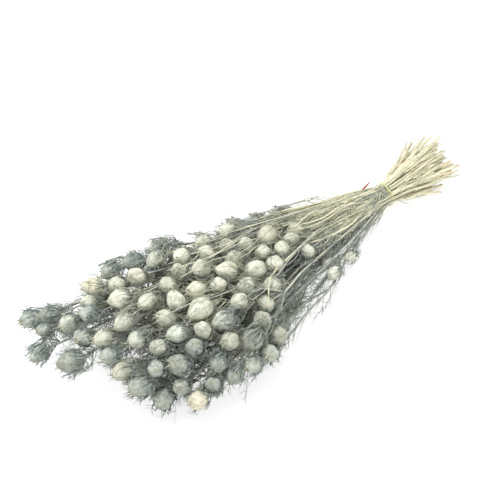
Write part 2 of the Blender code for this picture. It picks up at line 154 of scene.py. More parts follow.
# %% The fan
def fan_at(reach):
    """Half width, middle across and height of the fan, in millimetres, at a reach in millimetres."""
    table = np.array(FAN)
    return (np.interp(reach, table[:, 0], table[:, column]) for column in (1, 2, 3))


def fan_point(reach, across, side):
    """A place on the fan, in metres, on its upper side (1) or its lower side (-1)."""
    half, middle, height = fan_at(reach)
    share = max(-1.0, min(1.0, (across - middle) / half))
    return np.array((reach, across, height / 2 * (1 + side * math.sqrt(1 - share**2)))) * MM


def fan_share(place):
    """How far out a place lies in the fan's cross-section: 0 in the middle and 1 on the fan."""
    half, middle, height = fan_at(place[0] / MM)
    return math.hypot((place[1] / MM - middle) / half, place[2] / MM / (height / 2) - 1)


print("the fan is widest at reach", max(FAN, key=lambda row: row[1])[0], "mm")

# %% [markdown]
# A tied bunch is a round bundle of close-packed stems. Which stem carries which pod is settled by swapping
# pairs until no two of them cross, because crossed stems could not be pushed apart later.

# %% Places at the tie
def tie_slots(count):
    """Places of the stems where they are tied, close-packed in a round bundle."""
    rows = []
    for row in SLOT_RANGE:
        for column in SLOT_RANGE:
            across = (column + 0.5 * (row % 2) + SLOT_SHIFT) * STEM_PITCH
            rows.append(np.array((0, across, row * STEM_PITCH * math.sqrt(3) / 2)))
    return sorted(rows, key=np.linalg.norm)[:count]


def matched(slots, tips):
    """Gives each slot its tip so that no stems cross, by swapping pairs while that suits the slots."""
    ways = [tip[:3] / tip[0] for tip in tips]
    order = list(range(len(tips)))
    swapped = True
    while swapped:
        swapped = False
        for one in range(len(order)):
            for two in range(one):
                slot = slots[one] - slots[two]
                way = ways[order[one]] - ways[order[two]]
                if slot @ way < -1e-12:
                    order[one], order[two] = order[two], order[one]
                    swapped = True
    return [tips[n] for n in order]


slots = tie_slots(len(UPPER_TIPS) + len(LOWER_TIPS))
print("stems at the tie:", len(slots))

# %% [markdown]
# A dry stem bends but keeps its length, so each is a chain of points with rods between them, thinning to
# the neck of its pod. A pod is the last rod, short and thick. Branches start at a point that a stem
# already has.

# %% Stems as chains of points
class Bunch:
    """Stems and branches as chains of points, and the rods between them. A pod is a short thick rod."""

    def __init__(self):
        self.points = []
        self.free = []
        self.rods = []
        self.chains = []

    def add_point(self, place, free=1.0):
        self.points.append(np.array(place, float))
        self.free.append(free)
        return len(self.points) - 1

    def add_chain(self, indices, spray, pod_radius, start_radius):
        """A chain whose last rod is its pod. Its stem thins from start_radius to the neck."""
        rods = len(indices) - 1
        for n, (start, end) in enumerate(zip(indices, indices[1:])):
            thin = start_radius + (NECK_RADIUS - start_radius) * n / rods
            radius = pod_radius if n == rods - 1 else thin
            self.rods.append((start, end, radius, spray, len(self.chains)))
        self.chains.append({"points": indices, "spray": spray, "pod": pod_radius, "start": start_radius})

    def places(self, chain):
        return [self.points[index] for index in chain["points"]]


def unit(vector):
    return vector / np.linalg.norm(vector)


def tilted(direction, degrees, draw):
    """The direction turned by up to this many degrees, any way round."""
    aside = Vector(direction).orthogonal().normalized()
    aside.rotate(Matrix.Rotation(draw.uniform(0, 2 * math.pi), 3, Vector(direction)))
    turn = Matrix.Rotation(math.radians(degrees) * draw.random(), 3, aside)
    return np.array(turn @ Vector(direction))


draw = random.Random(SEED)
bunch = Bunch()
print("up, tilted a little:", tilted((0, 0, 1), POD_LEAN, random.Random(SEED)).round(2))


# %% Main stems
def add_stems(bunch, draw):
    """One stem for each furthest pod. Returns the height of the bundle's middle at the tie."""
    tips = []
    for places, side in ((UPPER_TIPS, 1), (LOWER_TIPS, -1)):
        tips += [np.append(fan_point(reach, across, side), radius * MM) for reach, across, radius in places]
    slots = tie_slots(len(tips))
    lowest = min(slot[2] for slot in slots)
    middle = np.array((0, 0, 2 * BAND_GAP + BAND_THICKNESS + STEM_RADIUS - lowest))
    for spray, (slot, tip) in enumerate(zip(slots, matched(slots, tips))):
        tip, radius = tip[:3], tip[3]
        tip[2] = max(tip[2], radius)
        cut = middle + slot * CUT_SPLAY + (CUT_REACH + draw.uniform(*CUT_STAGGER) * MM, 0, CUT_LIFT)
        cut[1:] += [draw.gauss(0, CUT_SPREAD), draw.gauss(0, CUT_SPREAD)]
        start = middle + slot + (TIE_HALF, 0, 0)
        indices = [bunch.add_point(cut)]
        indices += [bunch.add_point(start - (2 * TIE_HALF, 0, 0), 0), bunch.add_point(start, 0)]
        heading = unit(tip - start)
        base = tip - heading * POD_CORE / 2
        neck = base - heading * NECK_LENGTH
        steps = max(2, round(np.linalg.norm(neck - start) / STEM_STEP))
        bow, wave = draw.gauss(0, STEM_BOW), draw.gauss(0, STEM_WAVE)
        for share in [FIRST_JOINT / steps] + [step / steps for step in range(1, steps + 1)]:
            place = start + (neck - start) * share
            place[1] += bow * math.sin(math.pi * share) + wave * math.sin(2 * math.pi * share)
            indices.append(bunch.add_point(place))
        indices.append(bunch.add_point(base))
        indices.append(bunch.add_point(base + tilted(heading, POD_LEAN, draw) * POD_CORE))
        bunch.add_chain(indices, spray, radius, STEM_RADIUS)
    return middle[2]


tie_height = add_stems(bunch, draw)
print("stems:", len(bunch.chains), "the bundle's middle is", round(tie_height / MM, 1), "mm high")

# %% [markdown]
# Many stems carry a second or third pod on a side branch. A branch starts back along a stem that passes
# near its pod. Pods underneath, which no picture shows, are put where the other pods leave the most room.

# %% Side pods
def branch_root(bunch, stems, counts, place):
    """The stem and joint that a branch to this place grows from: back along a stem that passes near it."""
    choices = []
    for stem in range(len(stems)):
        line = bunch.places(stems[stem])
        for root in range(3, len(line) - 2):
            heading = unit(line[root + 1] - line[root])
            along = (place - line[root]) @ heading
            aside = np.linalg.norm(place - line[root] - heading * along)
            near = BRANCH_REACH[0] < along < BRANCH_REACH[1] and aside > POD_RADIUS
            if counts[stem] < BRANCHES and near:
                choices.append((aside + along * 0.3 + counts[stem] * POD_RADIUS, stem, root))
    return min(choices)[1:]


def emptiest_below(middles, draw):
    """A place on the fan's lower side, as far from the other pods as can be found among many."""
    low_pods = (fan_point(draw.uniform(200, 345), draw.uniform(-60, 80), -1) for _ in range(200))
    within = [np.maximum(place, (0, -1, POD_RADIUS)) for place in low_pods if fan_share(place) < 1.05]
    return max(within, key=lambda place: min(np.linalg.norm(place - other) for other in middles))


def add_side_pods(bunch, draw):
    """Pods on side branches: first those that show on top, then others in empty places underneath."""
    stems = list(bunch.chains)
    middles = [(bunch.places(chain)[-1] + bunch.places(chain)[-2]) / 2 for chain in stems]
    counts = [0] * len(stems)
    plan = [(fan_point(reach, across, 1), radius * MM) for reach, across, radius in UPPER_PODS]
    middles += [place for place, _ in plan]
    for _ in range(LOWER_PODS):
        middles.append(emptiest_below(middles, draw))
        plan.append((middles[-1], POD_RADIUS * draw.uniform(0.9, 1.05)))
    for place, radius in plan:
        stem, root = branch_root(bunch, stems, counts, place)
        line = bunch.places(stems[stem])
        counts[stem] += 1
        between = unit(place - line[root]) + unit(line[root + 1] - line[root])
        aim = tilted(unit(between), BRANCH_LEAN, draw)
        base = place - aim * POD_CORE / 2
        indices = [stems[stem]["points"][root], bunch.add_point(base - aim * NECK_LENGTH)]
        indices += [bunch.add_point(base), bunch.add_point(base + aim * POD_CORE)]
        bunch.add_chain(indices, stems[stem]["spray"], radius, NECK_RADIUS * 1.25)


add_side_pods(bunch, draw)
print("stems and branches:", len(bunch.chains))

# %% [markdown]
# Drawn like this, stems run through each other. A physics run could settle them, but slowly, and the
# plan's places would be lost. Instead, rods that are too close push each other away a little at a time, as
# springy stems do when they are tied, and every rod is pulled back to its length.

# %% How far apart rods are
def nearest_shares(start_a, end_a, start_b, end_b):
    """Where along two sets of rods each pair is nearest, as shares from 0 to 1."""
    along_a, along_b, between = end_a - start_a, end_b - start_b, start_a - start_b
    aa, bb = (along_a**2).sum(1), (along_b**2).sum(1)
    ab, ca, cb = (along_a * along_b).sum(1), (along_a * between).sum(1), (along_b * between).sum(1)
    share_a = np.clip((ab * cb - ca * bb) / np.maximum(aa * bb - ab**2, 1e-16), 0, 1)
    share_b = np.clip((ab * share_a + cb) / bb, 0, 1)
    return np.clip((ab * share_b - ca) / aa, 0, 1)[:, None], share_b[:, None]


class Rods:
    """The bunch's rods as arrays, to find how far pairs of them are apart."""

    def __init__(self, bunch):
        self.points = np.array(bunch.points)
        self.start, self.end, self.spray, self.chain = (
            np.array([rod[column] for rod in bunch.rods]) for column in (0, 1, 3, 4)
        )
        self.radius = np.array([rod[2] for rod in bunch.rods])

    def near_pairs(self, reach):
        """Pairs near each other that mustn't meet: of two sprays, or of one spray where one is a pod."""
        start, end = self.points[self.start], self.points[self.end]
        middle, size = (start + end) / 2, np.linalg.norm(end - start, axis=1) / 2 + self.radius
        far = np.linalg.norm(middle[:, None] - middle[None], axis=2)
        near = far < size[:, None] + size[None] + reach
        pod = self.radius > 2 * STEM_RADIUS
        one_spray = self.spray[:, None] == self.spray[None]
        one_chain = self.chain[:, None] == self.chain[None]
        apart = ~one_spray | (~one_chain & (pod[:, None] | pod[None]))
        return np.nonzero(np.triu(near & apart, 1))

    def apart(self, one, two):
        """For pairs of rods: their nearest shares, the vector between those places and the room between."""
        start_a, end_a = self.points[self.start[one]], self.points[self.end[one]]
        start_b, end_b = self.points[self.start[two]], self.points[self.end[two]]
        s, t = nearest_shares(start_a, end_a, start_b, end_b)
        between = start_a * (1 - s) + end_a * s - start_b * (1 - t) - end_b * t
        far = np.linalg.norm(between, axis=1)
        return s, t, between / np.maximum(far, 1e-9)[:, None], far - self.radius[one] - self.radius[two]


print("rods:", len(Rods(bunch).radius))

# %% Relaxing
GAP = 0.6 * MM
RELAX_STEPS = 600
PAIRS_EVERY = 10
PUSH = 0.6
PULL = 0.45
SMOOTHING = 0.04
FREE_STEPS = 0.6
STEM_HOLD = 0.01
POD_HOLD = 0.05


def relax(bunch):
    """Moves the points until the rods are clear of each other, as springy stems do when they are tied."""
    rods = Rods(bunch)
    points, free = rods.points, np.array(bunch.free)[:, None]
    start, end = rods.start, rods.end
    home, length = points.copy(), np.linalg.norm(points[end] - points[start], axis=1)[:, None]
    floor = np.zeros(len(points))
    np.maximum.at(floor, start, rods.radius)
    np.maximum.at(floor, end, rods.radius)
    lines = [chain["points"] for chain in bunch.chains]
    inner = [line[n - 1 : n + 2] for line in lines for n in range(1, len(line) - 2)]
    before, bend, after = (np.array(column) for column in zip(*inner))
    hold = np.full((len(points), 1), STEM_HOLD)
    hold[[index for line in lines for index in line[-2:]]] = POD_HOLD
    for step in range(RELAX_STEPS):
        if step % PAIRS_EVERY == 0:
            one, two = rods.near_pairs(8 * MM)
        s, t, way, room = rods.apart(one, two)
        push = way * np.maximum(GAP - room, 0)[:, None] * PUSH
        move, hits = np.zeros_like(points), np.full(len(points), 1e-9)
        shares = (1 - s, s, 1 - t, t)
        spread = (s**2 + (1 - s) ** 2,) * 2 + (-(t**2) - (1 - t) ** 2,) * 2
        for index, share, over in zip((start[one], end[one], start[two], end[two]), shares, spread):
            np.add.at(move, index, push * share / over)
            np.add.at(hits, index, room < GAP)
        points += free * move / np.maximum(hits, 1)[:, None]
        stretch = points[end] - points[start]
        fix = stretch * (1 - length / np.linalg.norm(stretch, axis=1)[:, None]) * PULL
        np.add.at(points, start, fix * free[start])
        np.add.at(points, end, -fix * free[end])
        if step < RELAX_STEPS * FREE_STEPS:
            halfway = (points[before] + points[after]) / 2
            points[bend] += SMOOTHING * free[bend] * (halfway - points[bend])
            points += hold * free * (home - points)
        points[:, 2] = np.where(free[:, 0] > 0, np.maximum(points[:, 2], floor), points[:, 2])
    room = rods.apart(*rods.near_pairs(2 * MM))[3]
    print(f"stems, branches and pods are at least {room.min() / MM:.2f} mm apart")
    bunch.points = list(points)


def pod_frame(base, tip, turn):
    """The turn that stands a pod on its neck, and the pod's middle."""
    axis = Vector(tip) - Vector(base)
    stand = axis.to_track_quat("Z", "Y").to_matrix() @ Matrix.Rotation(turn, 3, "Z")
    return stand, (Vector(base) + Vector(tip)) / 2


relax(bunch)

# %% [markdown]
# The solids were centred on their own box and turned half round. The tie stands at reach 0, so its packed
# solid shows where the plan's origin is in the frame, and one function turns a planned place into a real
# one.

# %% From the plan to the frame
tie_low, tie_high = (np.array(corner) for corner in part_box("tie"))
slots_middle = (min(slot[1] for slot in slots) + max(slot[1] for slot in slots)) / 2
TIE = np.array(((tie_low[0] + tie_high[0]) / 2, (tie_low[1] + tie_high[1]) / 2 + slots_middle, 0))


def placed(place):
    """A planned place, in the frame."""
    return np.array((TIE[0] - place[0], TIE[1] - place[1], place[2]))


print("sprays:", len(slots), "pods:", len(bunch.chains), "tie at", TIE / MM)

# %% [markdown]
# ## The view
#
# The photo looks down at 42 degrees with a long lens, from the near side and a little from the pods' end.
# What the camera aims at is given from the tie, so that the view stays right if the bunch's box changes.

# %% Camera
VIEW_TURN, VIEW_TILT = math.radians(-42.4), math.radians(42.0)
VIEW_DISTANCE = 1.5
VIEW_AIM = Vector((-0.1754, 0.0177, 0.03))
LENS = 108


def linked(name, data):
    """A new object with this data, in the scene."""
    made = bpy.data.objects.new(name, data)
    bpy.context.collection.objects.link(made)
    return made


level = math.cos(VIEW_TILT)
toward = Vector((math.sin(VIEW_TURN) * level, -math.cos(VIEW_TURN) * level, math.sin(VIEW_TILT)))
camera = linked("camera", bpy.data.cameras.new("camera"))
camera.data.lens = LENS
camera.location = Vector(TIE) + VIEW_AIM + toward * VIEW_DISTANCE
camera.rotation_euler = toward.to_track_quat("Z", "Y").to_euler()
bpy.context.scene.camera = camera
print("camera at", camera.location)

# %% [markdown]
# ## Shader maths as Python
#
# The colours of a dried plant mix many soft masks, and each mask is a chain of Math nodes. A socket in a
# small wrapper can be added and multiplied like a number, and one method makes any other node.

# %% Shader helpers
class Socket:
    """A node's output that takes part in Python arithmetic. Each sign adds a Math node."""

    def __init__(self, tree, output):
        self.tree, self.output = tree, output

    def math(self, operation, *values):
        return self.tree.node("ShaderNodeMath", {"operation": operation}, dict(enumerate(values)))

    def __add__(self, other):
        return self.math("ADD", self, other)

    def __sub__(self, other):
        return self.math("SUBTRACT", self, other)

    def __rsub__(self, other):
        return self.math("SUBTRACT", other, self)

    def __mul__(self, other):
        return self.math("MULTIPLY", self, other)

    __radd__, __rmul__ = __add__, __mul__

    def step(self, low, high):
        """Rises smoothly from 0 at low to 1 at high."""
        values = {"Value": self, "From Min": low, "From Max": high}
        return self.tree.node("ShaderNodeMapRange", {"interpolation_type": "SMOOTHSTEP"}, values)


class Finish:
    """A material and its node tree."""

    def __init__(self, name, roughness):
        self.material = bpy.data.materials.new(name)
        self.material.use_nodes = True
        self.tree = self.material.node_tree
        self.shader = self.tree.nodes["Principled BSDF"]
        self.shader.inputs["Roughness"].default_value = roughness
        self.shader.inputs["Specular IOR Level"].default_value = 0.25

    def node(self, kind, settings=None, values=None, output=0):
        """Adds a node: its settings first, then the values or links of its sockets."""
        node = self.tree.nodes.new(kind)
        for name, value in (settings or {}).items():
            setattr(node, name, value)
        for name, value in (values or {}).items():
            if isinstance(value, Socket):
                self.tree.links.new(value.output, node.inputs[name])
            else:
                node.inputs[name].default_value = value
        return Socket(self, node.outputs[output])

    def attribute(self, name, output="Fac"):
        return self.node("ShaderNodeAttribute", {"attribute_name": name}, output=output)

    def noise(self, size, detail=3, stretch=(1, 1, 1)):
        """Soft noise with lumps of this size in metres, stretched along the axes."""
        place = self.node("ShaderNodeTexCoord", output="Object")
        scale = tuple(1 / (size * s) for s in stretch)
        scaled = self.node("ShaderNodeVectorMath", {"operation": "MULTIPLY"}, {0: place, 1: scale})
        values = {"Vector": scaled, "Scale": 1.0, "Detail": detail}
        return self.node("ShaderNodeTexNoise", None, values, "Fac")

    def mix(self, factor, first, second):
        """A colour between two, each a colour or another mix."""
        node = self.tree.nodes.new("ShaderNodeMix")
        node.data_type = "RGBA"
        for socket, value in ((node.inputs[0], factor), (node.inputs[6], first), (node.inputs[7], second)):
            if isinstance(value, Socket):
                self.tree.links.new(value.output, socket)
            else:
                socket.default_value = (*value, 1) if isinstance(value, tuple) else value
        return Socket(self, node.outputs[2])

    def finish(self, colour, height, depth):
        """Links the colour, and a bump of this depth in metres."""
        values = {"Height": height, "Distance": depth, "Strength": 1.0}
        bump = self.node("ShaderNodeBump", None, values, "Normal")
        self.tree.links.new(colour.output, self.shader.inputs["Base Color"])
        self.tree.links.new(bump.output, self.shader.inputs["Normal"])
        return self.material


def srgb(*colour):
    """A colour as a paint chart gives it, in the linear values that shaders use."""
    return tuple((c / 255 / 12.92) if c <= 10 else ((c / 255 + 0.055) / 1.055) ** 2.4 for c in colour)


print("white paper is", srgb(255, 255, 255))

# %% [markdown]
# ## Dried plant colours
#
# No two pods of a dried bunch have the same colour. A material for each would take hundreds, so four looks
# are stored on the mesh instead: bloom, how blue-grey a piece is, tone, how light it is, which also carries
# painted shade, blush, how warm, and ribbed, how much its veins stand out. The veins of a pod follow its own
# shape, so the place of each point on a unit pod is stored as well.

# %% Pods
LOOKS = ("bloom", "tone", "blush", "ribbed")


def pod_finish():
    """Papery skin: cream going blue-grey, with painted shade round the base, five seams and finer veins."""
    skin = Finish("pod skin", 0.78)
    bloom, tone, blush, ribbed = (skin.attribute(name) for name in LOOKS)
    shape = skin.attribute("shape", "Vector")
    x, y, up = (skin.node("ShaderNodeSeparateXYZ", None, {0: shape}, axis) for axis in "XYZ")
    turn = x.math("ARCTAN2", y, x)
    patch, crumple, grain = skin.noise(7 * MM), skin.noise(2.4 * MM, 4), skin.noise(0.8 * MM, 4)
    seam = turn.math("COSINE", turn * 5 + (patch - 0.5) * 3)
    vein = turn.math("COSINE", turn * 25 + (patch - 0.5) * 9)
    seams = seam.step(-0.93, -1.0) * up.step(-1.0, -0.3) * grain.step(0.3, 0.5)
    veins = vein.step(0.5, 1.0) * grain.step(0.38, 0.6)
    cream = skin.mix(patch.step(0.35, 0.65), srgb(234, 234, 217), srgb(203, 207, 187))
    cream = skin.mix(blush, cream, srgb(248, 220, 180))
    grey = skin.mix(patch.step(0.38, 0.62), srgb(198, 206, 196), srgb(156, 166, 160))
    colour = skin.mix((bloom * 0.9 + (crumple - 0.5) * 0.9).step(0.2, 0.9), cream, grey)
    colour = skin.mix(crumple.step(0.52, 0.7) * 0.4, colour, srgb(160, 163, 148))
    jagged = turn.math("COSINE", turn * 8 + patch * 12) * 0.22 + (crumple - 0.5) * 1.2
    cup = (bloom * 1.7 - 1.1 + jagged - up).step(-0.12, 0.12)
    cupped = skin.mix(crumple.step(0.4, 0.62), srgb(158, 168, 164), srgb(112, 121, 117))
    colour = skin.mix(cup * 0.8, colour, cupped)
    # Painted shade: darker towards the base, where the pod meets its neck.
    colour = skin.mix(up.step(-0.45, -1.05) * 0.75, colour, srgb(112, 117, 104))
    colour = skin.mix(up.step(0.8, 1.25) * 0.4, colour, srgb(210, 204, 176))
    colour = skin.mix(veins * ribbed * 0.55, colour, srgb(122, 121, 98))
    colour = skin.mix(seams * ribbed * 0.5, colour, srgb(124, 123, 104))
    # Low tone darkens the skin; the tone carries painted shade under each pod and near the ground.
    colour = skin.mix((1 - tone) * 0.85, colour, srgb(76, 79, 70))
    height = crumple * 1.2 + grain * 0.35 - veins * ribbed * 0.4 - seams * 0.4 + cup * 0.25
    return skin.finish(colour, height, 0.75 * MM)


print("looks stored on each point:", LOOKS)


# %% Stems and threads
def stem_finish():
    """Straw that goes grey with bloom and rusty with blush, in long streaks."""
    bark = Finish("stem bark", 0.7)
    bloom, tone, blush, _ = (bark.attribute(name) for name in LOOKS)
    streak = bark.noise(0.8 * MM, 3, (26, 1, 1))
    blotch = bark.noise(9 * MM, 3, (3, 1, 1))
    straw = bark.mix(streak.step(0.35, 0.65), srgb(243, 240, 214), srgb(212, 209, 176))
    straw = bark.mix(blush.step(0, 0.5), straw, srgb(228, 184, 136))
    straw = bark.mix(blush.step(0.5, 1.0), straw, srgb(184, 92, 62))
    grey = bark.mix(streak.step(0.35, 0.68), srgb(204, 207, 196), srgb(140, 147, 141))
    colour = bark.mix((bloom + (blotch - 0.5) * 0.7).step(0.25, 0.75), straw, grey)
    # Low tone darkens the straw; the tone carries painted shade inside the bunch.
    colour = bark.mix((1 - tone) * 0.85, colour, srgb(74, 77, 70))
    return bark.finish(colour, streak, 0.2 * MM)


def thread_finish():
    """Pale dry leaf, darker in spots, and almost black with painted shade where its tone is low."""
    wisp = Finish("leaf threads", 0.85)
    bloom, tone = wisp.attribute("bloom"), wisp.attribute("tone")
    blotch = wisp.noise(5 * MM)
    colour = wisp.mix(bloom, srgb(222, 221, 190), srgb(174, 184, 178))
    colour = wisp.mix(blotch.step(0.4, 0.7) * 0.35, colour, srgb(124, 132, 125))
    # Low tone darkens it almost to black: painted shade inside the bunch and on the ground.
    colour = wisp.mix((1 - tone) * 0.9, colour, srgb(48, 50, 44))
    return wisp.finish(colour, blotch, 0.1 * MM)


FINISHES = (stem_finish(), pod_finish(), thread_finish())
STEM, POD, THREAD = range(3)
print("finishes:", [finish.name for finish in FINISHES])

# %% [markdown]
# ## Bending a straw along its path
#
# Stems, branches, bracts and threads are all one shape at different sizes: a straw with capped ends. A
# curve with a bevel could make each, but a plain mesh is what is kept. A straight straw is made once for
# each number of sides and steps, and is then bent along a smooth path and thinned.

# %% Straws
def straight_straw(sides, steps):
    """A unit straw along +Z, cut into steps."""
    bm = bmesh.new()
    half_up = Matrix.Translation((0, 0, 0.5))
    bmesh.ops.create_cone(bm, cap_ends=True, segments=sides, radius1=1, radius2=1, depth=1, matrix=half_up)
    for cut in range(1, steps):
        everything = list(bm.verts) + list(bm.edges) + list(bm.faces)
        bmesh.ops.bisect_plane(bm, geom=everything, plane_co=(0, 0, cut / steps), plane_no=(0, 0, 1))
    mesh = bpy.data.meshes.new("straw")
    bm.to_mesh(mesh)
    bm.free()
    return mesh


def smooth_path(places, steps):
    """The path through the places as a Catmull-Rom curve, in this many steps."""
    line = [places[0] * 2 - places[1], *places, places[-1] * 2 - places[-2]]
    lengths = [np.linalg.norm(b - a) for a, b in zip(places, places[1:])]
    along = np.concatenate(([0], np.cumsum(lengths)))
    path = []
    for step in range(steps + 1):
        at = along[-1] * step / steps
        n = min(int(np.searchsorted(along, at, side="right")) - 1, len(places) - 2)
        t = (at - along[n]) / max(lengths[n], 1e-9)
        a, b, c, d = line[n : n + 4]
        square, cube = 2 * a - 5 * b + 4 * c - d, 3 * b - a - 3 * c + d
        path.append(0.5 * (2 * b + (c - a) * t + square * t**2 + cube * t**3))
    return path


print("a straw for stems has", len(straight_straw(7, 12).polygons), "faces")

# %% [markdown]
# A spray has thousands of small faces. One object for each thread would be slow to render and to export.
# Each thread goes into its spray's mesh as it is made, with its looks stored on its points. No thread may
# stick out past the solids, so paths are kept within a little more than the solids' box.

# %% A spray's mesh
ROOM_OVER = 0.022
box_low, box_high = (np.array(corner) for corner in solid_box)
ROOM_LOW = box_low - (box_high - box_low) * ROOM_OVER
ROOM_HIGH = box_high + (box_high - box_low) * ROOM_OVER
ROOM_LOW[2] = 0.3 * MM
straws = {}


class SprayMesh:
    """One spray's mesh as it grows: each added shape carries its finish and its own bloom, tone and blush."""

    def __init__(self):
        self.bm = bmesh.new()
        self.looks = [self.bm.verts.layers.float.new(name) for name in LOOKS]
        self.shape = self.bm.verts.layers.float_vector.new("shape")

    def add(self, mesh, finish):
        """Adds a copy of the mesh and returns its vertices."""
        before_verts, before_faces = len(self.bm.verts), len(self.bm.faces)
        self.bm.from_mesh(mesh)
        self.bm.verts.ensure_lookup_table()
        self.bm.faces.ensure_lookup_table()
        for face in self.bm.faces[before_faces:]:
            face.material_index = finish
            face.smooth = True
        return self.bm.verts[before_verts:]

    def paint(self, verts, bloom, tone, blush=0.0, ribbed=0.0):
        """Gives the vertices their looks, each from 0 to 1."""
        for vert in verts:
            for look, value in zip(self.looks, (bloom, tone, blush, ribbed)):
                vert[look] = value

    def straw(self, places, radii, sides, steps, finish, across=None, flat=1.0):
        """Bends a straw through the places, wide across and flattened by a share. Returns its vertices."""
        if (sides, steps) not in straws:
            straws[sides, steps] = straight_straw(sides, steps)
        verts = self.add(straws[sides, steps], finish)
        path = np.clip(smooth_path(places, steps), ROOM_LOW, ROOM_HIGH)
        ways = [unit(path[min(n + 1, steps)] - path[max(n - 1, 0)]) for n in range(steps + 1)]
        side = np.array(Vector(ways[0]).orthogonal().normalized() if across is None else across)
        sides_at = []
        for way in ways:
            side = unit(side - way * (side @ way))
            sides_at.append((side, np.cross(way, side)))
        for vert in verts:
            step = round(vert.co.z * steps)
            radius = np.interp(step / steps, np.linspace(0, 1, len(radii)), radii)
            one, two = sides_at[step]
            vert.co = Vector(path[step] + (one * vert.co.x + two * vert.co.y * flat) * radius)
            vert.co.z = max(vert.co.z, 0)
        return verts

    def made(self, name):
        """The object with all that was added."""
        mesh = bpy.data.meshes.new(name)
        bmesh.ops.recalc_face_normals(self.bm, faces=self.bm.faces)
        self.bm.to_mesh(mesh)
        self.bm.free()
        for finish in FINISHES:
            mesh.materials.append(finish)
        return linked(name, mesh)


print("threads stay between", ROOM_LOW.round(3), "and", ROOM_HIGH.round(3))

# %% [markdown]
# ## A pod
#
# The pod is an inflated capsule of five chambers, broad below and drawn up to its crown. Sculpting each
# would give the best creases, but there are a hundred. A sphere gets the outline, swells between the seams
# and is pinched along them, and each copy is then crumpled by its own noise. Five thin beaks stand on its
# crown.

# %% Pod shape
POD_SEGMENTS = 30
POD_RINGS = 16
CHAMBERS = 5
SEAM_DEPTH = 0.035
LOBE_DEPTH = 0.035
POD_TALL = 1.05
CROWN_TAPER = 0.24
CROWN_PEAK = 0.1


def pod_shape():
    """A pod of radius 1 that stands upright."""
    bm = bmesh.new()
    bmesh.ops.create_uvsphere(bm, u_segments=POD_SEGMENTS, v_segments=POD_RINGS, radius=1)
    for vert in bm.verts:
        turn, wide = math.atan2(vert.co.y, vert.co.x), math.hypot(vert.co.x, vert.co.y)
        up = vert.co.z
        lobe = LOBE_DEPTH * math.cos(CHAMBERS * turn)
        seam = SEAM_DEPTH * max(0, -math.cos(CHAMBERS * turn)) ** 12
        swell = 1 - 0.04 * up - CROWN_TAPER * max(0, up) ** 1.6
        wide_now = wide * swell * (1 + (lobe - seam) * min(1, wide * 1.3))
        peak = CROWN_PEAK * max(0, up) ** 3
        vert.co = Vector((wide_now * math.cos(turn), wide_now * math.sin(turn), POD_TALL * up + peak))
    mesh = bpy.data.meshes.new("pod shape")
    bm.to_mesh(mesh)
    bm.free()
    return mesh


POD_SHAPE = pod_shape()
print("a pod has", len(POD_SHAPE.polygons), "faces")

# %% Pods and beaks on a spray
BEAK_LENGTH = 0.6
BROKEN_BEAKS = 0.3
CRUMPLE = 0.05
CREASES, FINE_CREASES = 1.6, 4
DENT = 0.1
POD_STRETCH = (0.98, 1.2)
POD_SLANT = 0.06
UNDER_SHADE = 0.4


def on_pod(stand, middle, radius, shape):
    """Places given for an upright pod of radius 1, on a real pod."""
    return [np.array(middle + stand @ (point * radius)) for point in shape]


def add_pod(spray, base, tip, radius, looks, chance):
    """A crumpled, dented pod with its beaks. Returns how it stands and its middle."""
    stand, middle = pod_frame(base, tip, chance.uniform(0, 2 * math.pi))
    stretch = chance.uniform(*POD_STRETCH)
    lean = Vector((chance.gauss(0, POD_SLANT), chance.gauss(0, POD_SLANT), 0))
    dent = chance.uniform(0, 2 * math.pi)
    somewhere = Vector([chance.uniform(0, 50) for _ in range(3)])
    verts = spray.add(POD_SHAPE, POD)
    spray.paint(verts, *looks)
    for vert in verts:
        unit_shape = vert.co.copy()
        vert[spray.shape] = unit_shape
        turn = math.atan2(unit_shape.y, unit_shape.x)
        flatter = 1 - DENT * (1 + math.cos(2 * turn + dent)) / 2
        place = Vector((unit_shape.x * flatter, unit_shape.y * flatter, unit_shape.z * stretch))
        place += lean * unit_shape.z
        crumpled = noise.noise(unit_shape * CREASES + somewhere)
        crumpled += 0.5 * noise.noise(unit_shape * FINE_CREASES + somewhere)
        place *= 1 + CRUMPLE * crumpled
        vert.co = middle + stand @ (place * radius)
        vert.co.z = max(vert.co.z, 0)
        # Painted shade: the lower part of each pod gets a lower tone.
        under = max(0, (middle.z + 0.2 * radius - vert.co.z) / radius)
        vert[spray.looks[LOOKS.index("tone")]] = looks[1] * (1 - UNDER_SHADE * min(1, under))
    for beak in range(CHAMBERS):
        if chance.random() < BROKEN_BEAKS:
            continue
        turn = 2 * math.pi * beak / CHAMBERS
        out = Vector((math.cos(turn), math.sin(turn), 0))
        length = BEAK_LENGTH * chance.uniform(0.6, 1.1)
        shape = [out * 0.22 + Vector((0, 0, 0.98)), out * 0.3 + Vector((0, 0, 1.0 + length * 0.6))]
        shape.append(out * chance.uniform(0.3, 0.9) + Vector((0, 0, 1.0 + length)))
        shape = [Vector((point.x, point.y, point.z * stretch)) for point in shape]
        places = on_pod(stand, middle, radius, shape)
        verts = spray.straw(places, [0.09 * radius, 0.045 * radius, 0.015 * radius], 4, 3, THREAD)
        spray.paint(verts, 0.4, chance.uniform(0.6, 0.9))
    return stand, middle


print("beaks on a pod:", CHAMBERS, "at most")

# %% [markdown]
# Thread-like bracts stand round each pod. Nearest to it are flat blades that hug its sides, and finer
# threads fork off them. They are the same bent straws, given in the pod's own unit space so that they fit
# any pod.

# %% Bracts round a pod
BRACT_FORKS = 4
BRACT_THICK = 0.4 * MM
BRACT_WIDTH, CUP_WIDTH = 0.42, 1.5
FORK_THINNING = [0.32 * MM, 0.25 * MM, 0.1 * MM]
BRACT_BLOOM = 0.3


